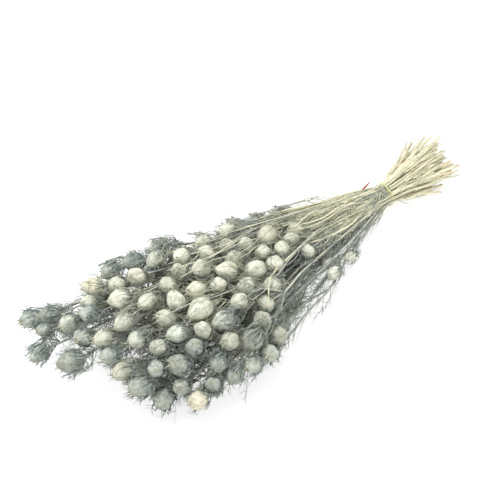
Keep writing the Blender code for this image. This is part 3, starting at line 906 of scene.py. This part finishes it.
def add_bracts(spray, stand, middle, radius, bloom, cup, count, chance):
    """Bracts that rise from the neck round the pod: blades that hug it, and threads that fork off past it."""
    for bract in range(count):
        turn = 2 * math.pi * (bract + chance.uniform(-0.4, 0.4)) / count
        out, along = Vector((math.cos(turn), math.sin(turn), 0)), Vector((-math.sin(turn), math.cos(turn), 0))
        wide, top = chance.uniform(1.02, 1.14), chance.uniform(-0.1, 0.5 + 0.8 * cup)
        sway = along * chance.gauss(0, 0.22)
        shape = [
            Vector((0, 0, -1.15)) + out * 0.1,
            out * 0.72 + Vector((0, 0, -0.95)) + sway * 0.3,
            out * wide + Vector((0, 0, -0.25 + 0.3 * cup)) + sway * 0.8,
            out * (wide + chance.uniform(-0.12, 0.2)) + Vector((0, 0, top)) + sway * 1.4,
        ]
        places = on_pod(stand, middle, radius, shape)
        blade = (BRACT_WIDTH + CUP_WIDTH * cup * chance.uniform(0.4, 1)) * MM
        across = unit(np.array(stand @ along))
        light = chance.uniform(0.55, 1)
        verts = spray.straw(places, [BRACT_THICK, blade, blade * 0.8, 0.1 * MM], 4, 6, THREAD, across, 0.3)
        spray.paint(verts, min(1, bloom + BRACT_BLOOM), light)
        for _ in range(BRACT_FORKS):
            root = shape[2].lerp(shape[chance.choice((1, 3))], chance.uniform(0, 0.8))
            away = out * chance.uniform(0.1, 0.5) + along * chance.gauss(0, 0.5)
            away += Vector((0, 0, chance.uniform(-0.1, 0.8)))
            curl = Vector([chance.gauss(0, 0.18) for _ in range(3)])
            forked = on_pod(stand, middle, radius, [root, root + away * 0.55 + curl, root + away])
            verts = spray.straw(forked, FORK_THINNING, 3, 3, THREAD)
            spray.paint(verts, min(1, bloom + BRACT_BLOOM), light * chance.uniform(0.7, 1))


print("forked threads on a bract:", BRACT_FORKS)

# %% [markdown]
# ## The sprays
#
# A stem is straw-coloured at its cut end and turns blue-grey towards its pods. The near side of the bunch
# is bluer, and so are the pods round its edge. Inside the bunch little light comes, and a mat of thousands
# of thin threads lets more through than the real one, so the threads there are given a darker tone as
# well.

# %% How light, how blue
EDGE_START = 0.45
FRONT_START, FRONT_LENGTH = 330, 100
NEAR_SIDE_END, NEAR_SIDE_SHARE = 310 * MM, 0.65
BLOOM_REACH, MOST_BLOOM = 170, 0.85
NEAR_BLOOM, FAR_BLOOM = 0.45, 0.3
SHADE_START, SHADE_REACH = 80, 130
INSIDE_SHADE, LOW_SHADE, PLAIN_SHADE, NECK_SHADE = 0.75, 0.2, 0.08, 0.05
LOW_HEIGHT = 35 * MM


def edge_of(place):
    """How near a planned place is to the fan's edge or its front, from 0 to 1."""
    half, middle, _ = fan_at(place[0] / MM)
    aside = abs((place[1] / MM - middle) / half)
    if place[1] > 0 and place[0] < NEAR_SIDE_END:
        aside *= NEAR_SIDE_SHARE
    ahead = (place[0] / MM - FRONT_START) / FRONT_LENGTH
    return max(0.0, min(1.0, max((aside - EDGE_START) / EDGE_START, ahead)))


def stem_bloom(place):
    """Blue-grey from the tie to the pods, sooner at the sides of the bunch and underneath."""
    half, middle, height = fan_at(place[0] / MM)
    share = (place[1] / MM - middle) / half
    near = max(share * NEAR_BLOOM, share * -FAR_BLOOM) - (place[2] / MM / height - 0.5) * NEAR_BLOOM
    return float(np.clip(place[0] / MM / BLOOM_REACH + near, 0, MOST_BLOOM)) if place[0] > 0 else 0.0


def lowness(place):
    """How near the surface a place is, from 0 to 1."""
    return 1 - min(1, place[2] / LOW_HEIGHT)


def light_at(place):
    """How light a thin piece is, as painted shade: pale all through the neck, dark inside the bunch between
    the pods.
    """
    among = float(np.clip((place[0] / MM - SHADE_START) / SHADE_REACH, 0, 1))
    inside = 1 - min(1, fan_share(place))
    shade = INSIDE_SHADE * inside + LOW_SHADE * lowness(place) + PLAIN_SHADE
    return max(0.1, 1 - among * shade - NECK_SHADE * inside)


print("bloom at the pods' end:", round(stem_bloom(fan_point(430, 0, 1)), 2))

# %% [markdown]
# ## Stems
#
# The main stems are as thick as the solids', bent a little more, with a few of them rusty at the cut end.
# Their colours are painted point by point, because bloom and painted shade change along a stem.

# %% Growing a stem
STEM_SIDES = 7
STEM_CUT = 11 * MM
STEM_CUTS = (6, 40)
WOBBLE = 0.3 * MM
RUSTY_STEMS, STEM_RUST = 0.3, (0.12, 0.3)
RUST_END = -50 * MM
GREYER = 0.22
chance = random.Random(SEED + 1)


def jitter(size):
    """A small random shift of about this size."""
    return np.array([chance.gauss(0, size) for _ in range(3)])


def grow_stem(spray, chain, tone):
    """A stem or branch up to its pod."""
    line = bunch.places(chain)
    count = len(line) - 1
    radii = [chain["start"] + (NECK_RADIUS - chain["start"]) * n / count for n in range(count)]
    wobbled = [line[0]] + [place + jitter(WOBBLE) for place in line[1:-2]] + [line[-2]]
    length = sum(np.linalg.norm(b - a) for a, b in zip(line, line[1:]))
    steps = max(STEM_CUTS[0], min(STEM_CUTS[1], round(length / STEM_CUT)))
    verts = spray.straw([placed(place) for place in wobbled], radii, STEM_SIDES, steps, STEM)
    blush = chance.uniform(*STEM_RUST) * (chance.random() < RUSTY_STEMS)
    greyer = chance.gauss(0, GREYER)
    for vert in verts:
        planned = placed(vert.co)
        bloom = max(0, min(1, stem_bloom(planned) + greyer)) if planned[0] > 0 else 0
        rust = blush if planned[0] < RUST_END else 0
        # The tone carries painted shade from light_at, darker inside the bunch among the pods.
        spray.paint([vert], bloom, tone * light_at(planned) ** 0.7, rust)


print("steps in a stem:", STEM_CUTS)

# %% [markdown]
# ## Leaf threads
#
# Nigella leaves are cut into threads. On the dried plant they lie along the stem, pressed flat by the tie,
# matted where the bunch was pressed most, and rubbed off at the neck. Hair particles could make them, but
# a straw can be bent, painted and kept low at each of its places, so every thread is a thin straw.

# %% Pressed threads
PRESSED_THREADS = 30
MATTED_THREADS = 60
PRESSED_LENGTH, PRESSED_WIDTH, PRESSED_LEAN = (16, 52), (0.25, 0.55), (0.02, 0.3)
MAT_FROM, MAT_REACH = 35 * MM, 330 * MM
NECK_END = 115 * MM
BARE_NECK = 0.6
NEAR_NECK_BLOOM, NEAR_NECK_END = 0.35, 130 * MM
LOWEST_THREAD = 0.6 * MM
OVER_FAN = 5 * MM
TIP_ROOM = 10 * MM


def joined(line, first, last):
    """A place and the heading on a stem between two of its joints."""
    joint = chance.randrange(first, last)
    step = line[joint + 1] - line[joint]
    return line[joint] + step * chance.random(), unit(step)


def kept_low(place):
    """The place, no higher than the fan with its pods is there."""
    tall = list(fan_at(place[0] / MM))[2] * MM
    return np.array((place[0], place[1], min(max(place[2], LOWEST_THREAD), tall + OVER_FAN)))


def across_of(heading):
    """A direction at right angles to the heading, any way round it."""
    aside = tilted(heading, 90, chance)
    return unit(aside - heading * (aside @ heading))


def add_thread(spray, places, thick, bloom, light, steps=4):
    """A thread through planned places, thinner at its tip."""
    verts = spray.straw([placed(p) for p in places], [thick, thick * 0.85, thick * 0.35], 3, steps, THREAD)
    spray.paint(verts, min(1, max(0, bloom)), light)


def grow_threads(spray, line):
    """Dry threads pressed flat along the stem from the tie to its pod, matted on the near side."""
    matted = line[-1][1] > MAT_FROM and line[-1][0] < MAT_REACH
    for _ in range(MATTED_THREADS if matted else PRESSED_THREADS):
        root, heading = joined(line, 2, len(line) - 2)
        if root[0] < NECK_END and chance.random() < BARE_NECK:
            continue
        length, lean = chance.uniform(*PRESSED_LENGTH) * MM, chance.uniform(*PRESSED_LEAN)
        aside = across_of(heading)
        places = [root]
        for bend in range(3):
            way = heading + aside * lean + tilted(heading, 60, chance) * 0.35
            places.append(kept_low(places[-1] + unit(way) * length / 3))
        if places[-1][0] < max(place[0] for place in line) + TIP_ROOM:
            _, middle, _ = fan_at(root[0] / MM)
            near = NEAR_NECK_BLOOM * (root[1] / MM > middle) * (root[0] < NEAR_NECK_END)
            bloom = stem_bloom(root) + near + chance.uniform(-0.2, 0.4)
            light = light_at(places[2]) * chance.uniform(0.7, 1.0)
            add_thread(spray, places, chance.uniform(*PRESSED_WIDTH) * MM, bloom, light, 5)


print("pressed threads on a stem:", PRESSED_THREADS, "to", MATTED_THREADS)

# %% Leaves and undergrowth
LEAVES = 18
BRANCH_LEAVES = 5
LEAF_LENGTH, RIB_WIDTH, LEAF_LEAN = (20, 42), 0.34, (0.25, 0.8)
LEAF_FORKS = 8
FORK_LENGTH, FORK_WIDTH = (6, 15), (0.2, 0.34)
UNDERGROWTH = 68
UNDERGROWTH_LENGTH, UNDERGROWTH_WIDTH = (16, 44), (0.35, 0.6)
UNDERGROWTH_START, UNDERGROWTH_END = 60 * MM, 370 * MM
UNDERGROWTH_SHARE = 0.9


def grow_leaf(spray, root, heading, reach_end):
    """A feathery leaf: a thin rib that bends along the stem, with forked threads on both its sides."""
    aside, length = across_of(heading), chance.uniform(*LEAF_LENGTH) * MM
    lean = chance.uniform(*LEAF_LEAN)
    rib = [root]
    for share in (1, 0.5, -0.2):
        way = heading + aside * lean * share + across_of(heading) * 0.25
        rib.append(kept_low(rib[-1] + unit(way) * length / 3))
    if rib[-1][0] > reach_end:
        return
    bloom = stem_bloom(rib[1]) + chance.uniform(-0.3, 0.3)
    light = light_at(rib[2]) * chance.uniform(0.6, 1.0)
    add_thread(spray, rib, RIB_WIDTH * MM, bloom, light, 5)
    for fork in range(LEAF_FORKS):
        at = 0.5 + 2.4 * fork / LEAF_FORKS
        start = rib[int(at)] + (rib[int(at) + 1] - rib[int(at)]) * (at - int(at))
        way = unit(heading + across_of(heading) * chance.uniform(0.5, 1.1))
        reach_on = chance.uniform(*FORK_LENGTH) * MM
        bent = kept_low(start + way * reach_on * 0.5)
        tip = kept_low(bent + unit(way + across_of(heading) * 0.6) * reach_on * 0.5)
        thick = chance.uniform(*FORK_WIDTH) * MM
        add_thread(spray, (start, bent, tip), thick, bloom, light * chance.uniform(0.8, 1), 3)


def grow_leaves(spray, line, count, first):
    """Leaves along a stem or branch, from one of its joints on, few of them at the neck."""
    reach_end = max(place[0] for place in line) + TIP_ROOM
    for _ in range(count):
        root, heading = joined(line, first, len(line) - 2)
        if root[0] > NECK_END or chance.random() > BARE_NECK:
            grow_leaf(spray, root, heading, reach_end)


def grow_undergrowth(spray, line):
    """Tangled dead threads low among the stems, painted almost black as shade where little light comes."""
    for _ in range(UNDERGROWTH):
        root, heading = joined(line, 0, len(line) - 2)
        hang = np.array((0, 0, -chance.random()))
        way = unit(heading * 0.6 + across_of(heading) * chance.uniform(0.4, 1.2) + hang)
        length = chance.uniform(*UNDERGROWTH_LENGTH) * MM
        middle = root + way * length * 0.5
        end = middle + unit(way + across_of(heading) * 0.5) * length * 0.5
        within = root[0] > UNDERGROWTH_START and end[0] < UNDERGROWTH_END
        if within and max(fan_share(middle), fan_share(end)) < UNDERGROWTH_SHARE:
            thick = chance.uniform(*UNDERGROWTH_WIDTH) * MM
            # Painted shade: a tone of 0.05 to 0.4 makes these threads almost black.
            add_thread(spray, (root, kept_low(middle), kept_low(end)), thick, 0.4, chance.uniform(0.05, 0.4))


print("leaves on a stem:", LEAVES, "each with", LEAF_FORKS, "forks")

# %% [markdown]
# ## The basket round each pod
#
# Below a pod the plant has a ruff of thread-like bracts that curve up and cross over it, so that the dry
# pod looks caught in a torn basket. It is fullest round the edge of the bunch, where nothing has rubbed it
# off.

# %% Growing the basket
CALYX_THREADS = (22, 40)
CALYX_WIDTH = (0.26, 0.46)
CALYX_ROOT = (0.2, 2.6)


def before_pod(line, distance):
    """The place on a stem this far before its pod."""
    for here, further in zip(line[-2:0:-1], line[-3::-1]):
        step = np.linalg.norm(further - here)
        if distance < step:
            return here + (further - here) * distance / step
        distance -= step
    return line[0]


def grow_calyx(spray, line, stand, middle, radius, edge, bloom):
    """The fine bracts that leave the neck well below the pod and curve up round it like a torn basket."""
    few, many = CALYX_THREADS
    for _ in range(round(few + (many - few) * edge)):
        turn, below = chance.uniform(0, 2 * math.pi), chance.uniform(*CALYX_ROOT)
        out = Vector((math.cos(turn), math.sin(turn), 0))
        sway = Vector((-out.y, out.x, 0)) * chance.gauss(0, 0.35)
        top = chance.uniform(-0.5, 0.6 + 0.5 * edge)
        shape = [
            out * chance.uniform(0.35, 0.75) + sway + Vector((0, 0, -1.05 - below * 0.5)),
            out * chance.uniform(0.85, 1.1) + sway * 0.6 + Vector((0, 0, -0.75)),
            out * chance.uniform(1.05, 1.2) + sway + Vector((0, 0, top)),
        ]
        places = [placed(before_pod(line, below * radius)), *on_pod(stand, middle, radius, shape)]
        thick = chance.uniform(*CALYX_WIDTH) * MM
        verts = spray.straw(places, [thick, thick, thick * 0.8, thick * 0.3], 3, 6, THREAD)
        light = light_at(line[-2]) * chance.uniform(0.6, 1)
        spray.paint(verts, min(1, bloom + chance.uniform(0.0, 0.5)), light)


print("basket threads on a pod:", CALYX_THREADS)

# %% [markdown]
# ## The cut ends
#
# Behind the tie the stems splay out, and short split straws of many widths stand among them. They start on
# the stem between the tie and its cut, so that they belong to their spray.

# %% Growing a cut end
CUT_STRAWS = 8
BEHIND_THREADS = 5
BIT_LENGTH, SHORTEST_BIT = (25, 70), 12 * MM
STRAW_SPREAD, THREAD_SPREAD, BIT_BEND = 0.1, 0.25, 0.04
CUT_WIDTHS, CUT_THREAD_WIDTH = (0.6, 1.0, 1.5, 1.9), (0.2, 0.4)
RUSTY_STRAWS, STRAW_RUST = 0.35, (0.08, 0.2)


def stalk(spray, places, thick, bloom, blush=0.0):
    """A bit of dry stalk, split and half flat."""
    across = across_of(unit(places[-1] - places[0]))
    radii = [thick * 0.6, thick, thick * 0.7]
    verts = spray.straw([placed(p) for p in places], radii, 5, 8, STEM, across, chance.uniform(0.4, 1))
    spray.paint(verts, bloom, chance.uniform(0.75, 1), blush)


def grow_cut_end(spray, line):
    """Short bits of split straw and thread among the cut ends, at all angles."""
    for bit in range(CUT_STRAWS + BEHIND_THREADS):
        straw = bit < CUT_STRAWS
        start = line[0] + (line[1] - line[0]) * chance.uniform(0.4, 1)
        along, spread = unit(line[0] - line[1]), STRAW_SPREAD if straw else THREAD_SPREAD
        way = unit(along + jitter(spread))
        length = chance.uniform(*BIT_LENGTH) * MM
        length = min(length, start[0] - line[0][0] + chance.uniform(-6, 2) * MM)
        if length < SHORTEST_BIT:
            continue
        places = [start + np.array((0, chance.gauss(0, 1.5 * MM), chance.gauss(0, 1.5 * MM)))]
        for bend in range(3):
            places.append(kept_low(places[-1] + (way + jitter(BIT_BEND)) * length / 3))
        if straw:
            thick, blush = chance.choice(CUT_WIDTHS) * MM, chance.uniform(*STRAW_RUST)
            stalk(spray, places, thick, 0.0, blush * (chance.random() < RUSTY_STRAWS))
        else:
            thick, bloom = chance.uniform(*CUT_THREAD_WIDTH) * MM, chance.uniform(0, 0.7)
            add_thread(spray, places, thick, bloom, chance.uniform(0.8, 1))


print("bits at a cut end:", CUT_STRAWS + BEHIND_THREADS)

# %% [markdown]
# ## Stalks and threads that lie over the bunch
#
# Over the stems lie thin broken stalks that belong to no pod, the longest where the photo shows them. Each
# is laid on the fan and lifted until it is clear of the pods. It is then given to the spray that it lies
# along, so that the bunch keeps one piece for each spray.

# %% Laying a stalk
POD_ROOM = 8 * MM
FAR_SIDE, NEAR_SIDE = -0.75, 0.9
RISES = range(-3, 10, 2)
BEND = 1.5 * MM
LONG_WIDTH = (0.5, 1.1)
LONG_STALKS = (
    (3, ((49, -3), (118, -6), (194, -12), (269, -25))),
    (2, ((60, 1), (155, -4), (217, -8), (274, -7))),
    (2, ((40, -12), (100, -24), (150, -34), (215, -44))),
    (1, ((129, 12), (174, 5), (259, 12), (305, 27))),
    (1, ((229, 6), (275, 4), (315, -2), (345, -10))),
    (1, ((250, 52), (281, 50), (311, 43), (345, 34))),
    (7, ((120, 30), (181, 46), (213, 60), (246, 72))),
    (1, ((180, -20), (225, -30), (262, -28), (300, -40))),
)
pod_middles = np.array([(bunch.places(chain)[-1] + bunch.places(chain)[-2]) / 2 for chain in bunch.chains])
main_lines = [[]] * len(slots)
for chain in bunch.chains:
    if chain["start"] == STEM_RADIUS:
        main_lines[chain["spray"]] = np.array(bunch.places(chain))
loose_bits = [[] for _ in slots]


def clear_of_pods(places):
    """Whether a stalk through these places passes over and between the pods."""
    path = smooth_path(places, 10)
    return min(np.linalg.norm(pod_middles - place, axis=1).min() for place in path) > POD_ROOM


def keep_with_nearest(places, thick, finish):
    """Gives a bit that lies on the bunch to the spray that it lies along."""
    gaps = [sum(np.linalg.norm(line - place, axis=1).min() for place in places) for line in main_lines]
    loose_bits[int(np.argmin(gaps))].append((places, thick, finish))


def lay_stalk(spots, thick):
    """Lays a stalk over the bunch, as low as the pods let it lie."""
    inside = []
    for reach, across in spots:
        half, middle, _ = fan_at(reach)
        share = max(FAR_SIDE, min(NEAR_SIDE, (across - middle) / half))
        inside.append(fan_point(reach, middle + share * half, 1))
    bends = [jitter(BEND) for _ in spots]
    for rise in RISES:
        places = [place + bend + np.array((0, 0, rise * MM)) for place, bend in zip(inside, bends)]
        if clear_of_pods(places):
            keep_with_nearest(places, thick, STEM)
            return


for copies, spots in LONG_STALKS:
    for _ in range(copies):
        moved = [(reach + chance.gauss(0, 6), across + chance.gauss(0, 3)) for reach, across in spots]
        lay_stalk(moved, chance.uniform(*LONG_WIDTH) * MM)
print("long stalks:", sum(map(len, loose_bits)))

# %% Short stalks
SHORT_STALKS = 60
NECK_STALKS = 150
SHORT_REACH, SHORT_WIDTH = (10, 190), (0.35, 0.7)
NECK_REACH, NECK_WIDTH = (-2, 70), (0.5, 1.3)
SHORT_LENGTH, SHORT_SHARE = (45, 110), (-0.85, 0.8)

for bit in range(SHORT_STALKS + NECK_STALKS):
    starts, widths = (NECK_REACH, NECK_WIDTH) if bit >= SHORT_STALKS else (SHORT_REACH, SHORT_WIDTH)
    reach, length = chance.uniform(*starts), chance.uniform(*SHORT_LENGTH)
    share, spots = chance.uniform(*SHORT_SHARE), []
    for step in range(4):
        half, middle, _ = fan_at(reach + length * step / 3)
        spots.append((reach + length * step / 3, middle + half * (share + chance.gauss(0, 0.06))))
    lay_stalk(spots, chance.uniform(*widths) * MM)
print("stalks:", sum(map(len, loose_bits)))

# %% [markdown]
# Two more kinds of loose thread wander instead of following a stem: the mat that covers the stems near the
# tie, and crossing threads on the ground below the bunch, dark with painted shade, which close the view
# through it.

# %% Loose threads
MAT_THREADS = 260
MAT_STARTS, MAT_LENGTH, MAT_WIDTH = (-5, 130), (10, 34), (0.3, 0.65)
GROUND_THREADS = 1000
GROUND_STARTS, GROUND_LENGTH, GROUND_WIDTH = (140, 320), (18, 38), (0.45, 0.8)
GROUND_SHARE, GROUND_HEIGHT = (-0.8, 0.75), (1, 16)

for _ in range(MAT_THREADS):
    reach, share, aim = chance.uniform(*MAT_STARTS), chance.gauss(0.35, 0.45), chance.gauss(0, 0.4)
    length, places = chance.uniform(*MAT_LENGTH), []
    for _ in range(4):
        half, middle, _ = fan_at(reach)
        share = max(-0.98, min(0.98, share))
        rise = np.array((0, 0, chance.uniform(-1.5, 1) * MM))
        places.append(fan_point(reach, middle + half * share, 1) + rise)
        reach, share = reach + math.cos(aim) * length / 3, share + math.sin(aim) * length / 3 / half
        aim += chance.gauss(0, 0.35)
    keep_with_nearest(places, chance.uniform(*MAT_WIDTH) * MM, THREAD)
for _ in range(GROUND_THREADS):
    reach, share = chance.uniform(*GROUND_STARTS), chance.uniform(*GROUND_SHARE)
    aim = chance.gauss(0, 0.9)
    length, places = chance.uniform(*GROUND_LENGTH), []
    for _ in range(3):
        half, middle, _ = fan_at(reach)
        height = chance.uniform(*GROUND_HEIGHT) * (1 - share**2) + 1
        places.append(np.array((reach, middle + half * share, height)) * MM)
        reach, share = reach + math.cos(aim) * length / 2, share + math.sin(aim) * length / 2 / half
        share = max(-0.85, min(0.85, share))
    keep_with_nearest(places, chance.uniform(*GROUND_WIDTH) * MM, THREAD)
print("loose bits:", sum(map(len, loose_bits)))

# %% [markdown]
# ## All the sprays
#
# A pod's looks come from its place, with a random part so that neighbours differ. The few pods that stand
# out in the photo are given theirs: for the planned pod nearest to a spot, its bloom and its blush.

# %% How each pod looks
EDGE_SHADE, POD_LOW_SHADE, POD_SHADE = 0.16, 0.2, 0.35
SEEN_PODS = (
    ((348, 101), 0.45, 0.35),
    ((345, -51), 0.1, 0.22),
    ((286, 68), 0.55, 0.0),
    ((296, 47), 0.0, 0.0),
    ((105, 53), 0.4, 0.0),
    ((131, 47), 0.35, 0.0),
    ((136, 62), 0.4, 0.0),
)
SEEN_WITHIN = 4


def pod_looks(line):
    """How blue, light, peach and ribbed a pod is: bluer and darker at the bunch's edge, bluer underneath and
    darker there with painted shade.
    """
    edge, low = edge_of(line[-1]), lowness(line[-1])
    middle = (line[-1] + line[-2])[:2] / 2 / MM
    for spot, bloom, blush in SEEN_PODS:
        if np.linalg.norm(middle - np.array(spot)) < SEEN_WITHIN:
            return 0.3 * edge, (bloom, 1.0, blush, 0.1)
    bloom = float(np.clip(0.15 + 0.7 * edge + 0.2 * low + chance.gauss(0, 0.16), 0, 0.95))
    # Painted shade: pods near the ground get a lower tone.
    light = 1 - POD_SHADE * chance.random() ** 1.4 - POD_LOW_SHADE * low - EDGE_SHADE * edge
    return edge, (bloom, light, max(0, chance.gauss(0, 0.05)), 0.25 + 0.6 * chance.random() ** 2)


print("pods that stand out:", len(SEEN_PODS))

# %% [markdown]
# Each stem and branch grows in turn: its bark, its threads and leaves, its pod with bracts and basket.
# What is finished rides on the bunch's one body and replaces the solid of the same spray. A scrap of
# reddish leaf stands up at the tie.

# %% Growing all the sprays
SLIVER_WIDTH = 1.1 * MM
SLIVER = ((9, -13, 10), (17, -11, 4), (28, -9, 0))
RUST = 1.0
GROUND_TOP = 20 * MM


def grow_chain(spray, chain):
    """A stem or branch with all that grows on it."""
    line = bunch.places(chain)
    tone = 1 - 0.35 * chance.random() ** 2
    grow_stem(spray, chain, tone)
    main = chain["start"] == STEM_RADIUS
    if main:
        grow_threads(spray, line)
        grow_cut_end(spray, line)
    grow_leaves(spray, line, LEAVES if main else BRANCH_LEAVES, 4 if main else 0)
    grow_undergrowth(spray, line)
    edge, looks = pod_looks(line)
    radius, bloom = chain["pod"], looks[0]
    stand, middle = add_pod(spray, placed(line[-2]), placed(line[-1]), radius, looks, chance)
    cup = edge * chance.uniform(0.5, 1)
    count = round(7 + 5 * edge + 3 * chance.random())
    add_bracts(spray, stand, middle, radius, bloom, cup, count, chance)
    grow_calyx(spray, line, stand, middle, radius, edge, bloom)


def add_loose_bit(spray, places, thick, finish):
    """A stalk or thread that lies on the spray, pale above and dark with painted shade where it lies on the
    ground.
    """
    bloom = stem_bloom(places[2])
    if finish == STEM:
        stalk(spray, places, thick, bloom * chance.uniform(0, 1) * min(1, places[1][0] / NECK_END))
    elif places[1][2] < GROUND_TOP and places[1][0] > NECK_END:
        # Painted shade: threads low on the ground past the neck are almost black.
        add_thread(spray, places, thick, 0.4, chance.uniform(0.03, 0.3))
    else:
        add_thread(spray, places, thick, 0.3 * bloom + chance.uniform(0, 0.7), chance.uniform(0.85, 1), 5)


pieces = []
sliver = [fan_point(reach, across, 1) + np.array((0, 0, rise * MM)) for reach, across, rise in SLIVER]
sliver_spray = int(np.argmin([np.linalg.norm(line - sliver[0], axis=1).min() for line in main_lines]))
for number in range(len(slots)):
    spray = SprayMesh()
    for chain in bunch.chains:
        if chain["spray"] == number:
            grow_chain(spray, chain)
    if number == sliver_spray:
        thick = [0.5 * MM, SLIVER_WIDTH, 0.2 * MM]
        verts = spray.straw([placed(p) for p in sliver], thick, 4, 6, STEM, None, 0.35)
        spray.paint(verts, 0.0, 0.75, RUST)
    for places, thick, finish in loose_bits[number]:
        add_loose_bit(spray, places, thick, finish)
    piece = spray.made(f"nigella_spray_{number + 1:02d}")
    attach(piece, "root")
    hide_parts(f"spray_{number + 1:02d}")
    pieces.append(piece)
faces = [len(piece.data.polygons) for piece in pieces]
print("faces:", sum(faces), "most:", max(faces))

# %% [markdown]
# ## The rubber band
#
# A thin band holds the stems. It goes round twice, a little askew, close round the outermost stems. A
# torus would be round, so each turn is a straw that follows the outline of the bundle instead. It replaces
# the plain loop of the solids.

# %% Rubber band
BAND_TURNS = 2
BAND_STRAND = 0.42 * MM
TURN_SPACING, TURN_SWAY = 1.5 * MM, 0.5 * MM


def band_piece():
    """The turns of the band round the bundle."""
    spray = SprayMesh()
    for strand in range(BAND_TURNS):
        places = []
        for n in range(BAND_POINTS + 1):
            angle = 2 * math.pi * n / BAND_POINTS
            out = np.array((0, math.cos(angle), math.sin(angle)))
            corner = max(slots, key=lambda slot: slot @ out)
            lift = BAND_GAP * 0.3 + STEM_RADIUS + BAND_STRAND
            shift = (strand - 0.5) * TURN_SPACING + TURN_SWAY * math.sin(angle + strand * 2)
            places.append(placed(corner + out * lift + (shift, 0, tie_height)))
        verts = spray.straw(places, [BAND_STRAND] * 2, 8, 2 * BAND_POINTS, STEM)
        spray.paint(verts, 0, 1)
    return spray.made("rubber_band")


rubber = Finish("green rubber", 0.45)
stretch = rubber.noise(1.5 * MM, 3)
rubber_green = rubber.mix(stretch.step(0.35, 0.65), srgb(218, 218, 168), srgb(200, 203, 142))
rubber.finish(rubber_green, stretch, 0.1 * MM)
band = band_piece()
band.data.materials.clear()
band.data.materials.append(rubber.material)
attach(band, "root")
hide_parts("tie")
print("band faces:", len(band.data.polygons))

# %% [markdown]
# ## Floor and light
#
# The photo's surface is plain white with faint shadows. A white floor under a lamp would show the bunch's
# shadow too dark, so the floor glows a little and lets only a soft shadow through.

# %% Floor
FLOOR_HALF = 30
FLOOR_GREY = 0.5
FLOOR_GLOW = 0.7
WHITE = (1, 1, 1, 1)

floor_mesh = bpy.data.meshes.new("floor")
bm = bmesh.new()
bmesh.ops.create_grid(bm, x_segments=1, y_segments=1, size=FLOOR_HALF)
bm.to_mesh(floor_mesh)
bm.free()
floor = linked("floor", floor_mesh)
paper = Finish("pale floor", 0.9)
paper.shader.inputs["Base Color"].default_value = (FLOOR_GREY, FLOOR_GREY, FLOOR_GREY, 1)
paper.shader.inputs["Emission Color"].default_value = WHITE
paper.shader.inputs["Emission Strength"].default_value = FLOOR_GLOW
floor_mesh.materials.append(paper.material)
print("floor:", 2 * FLOOR_HALF, "m wide")

# %% [markdown]
# The photo's light is even, so most of it is a bright white sky. One wide soft lamp above shapes the pods.

# %% Sky and lamp
SKY_STRENGTH = 0.95
LAMP_WIDTH = 1.2
LAMP_POWER = 18
LAMP_PLACE = Vector((-0.35, 0.25, 1.5))

world = bpy.data.worlds.new("studio")
world.use_nodes = True
world.node_tree.nodes["Background"].inputs["Color"].default_value = WHITE
world.node_tree.nodes["Background"].inputs["Strength"].default_value = SKY_STRENGTH
bpy.context.scene.world = world

lamp = linked("soft lamp", bpy.data.lights.new("soft lamp", "AREA"))
lamp.data.shape = "DISK"
lamp.data.size = LAMP_WIDTH
lamp.data.energy = LAMP_POWER
lamp.location = LAMP_PLACE
lamp.rotation_euler = LAMP_PLACE.to_track_quat("Z", "Y").to_euler()
bpy.context.scene.view_settings.view_transform = "Standard"
print("lamp at", lamp.location)
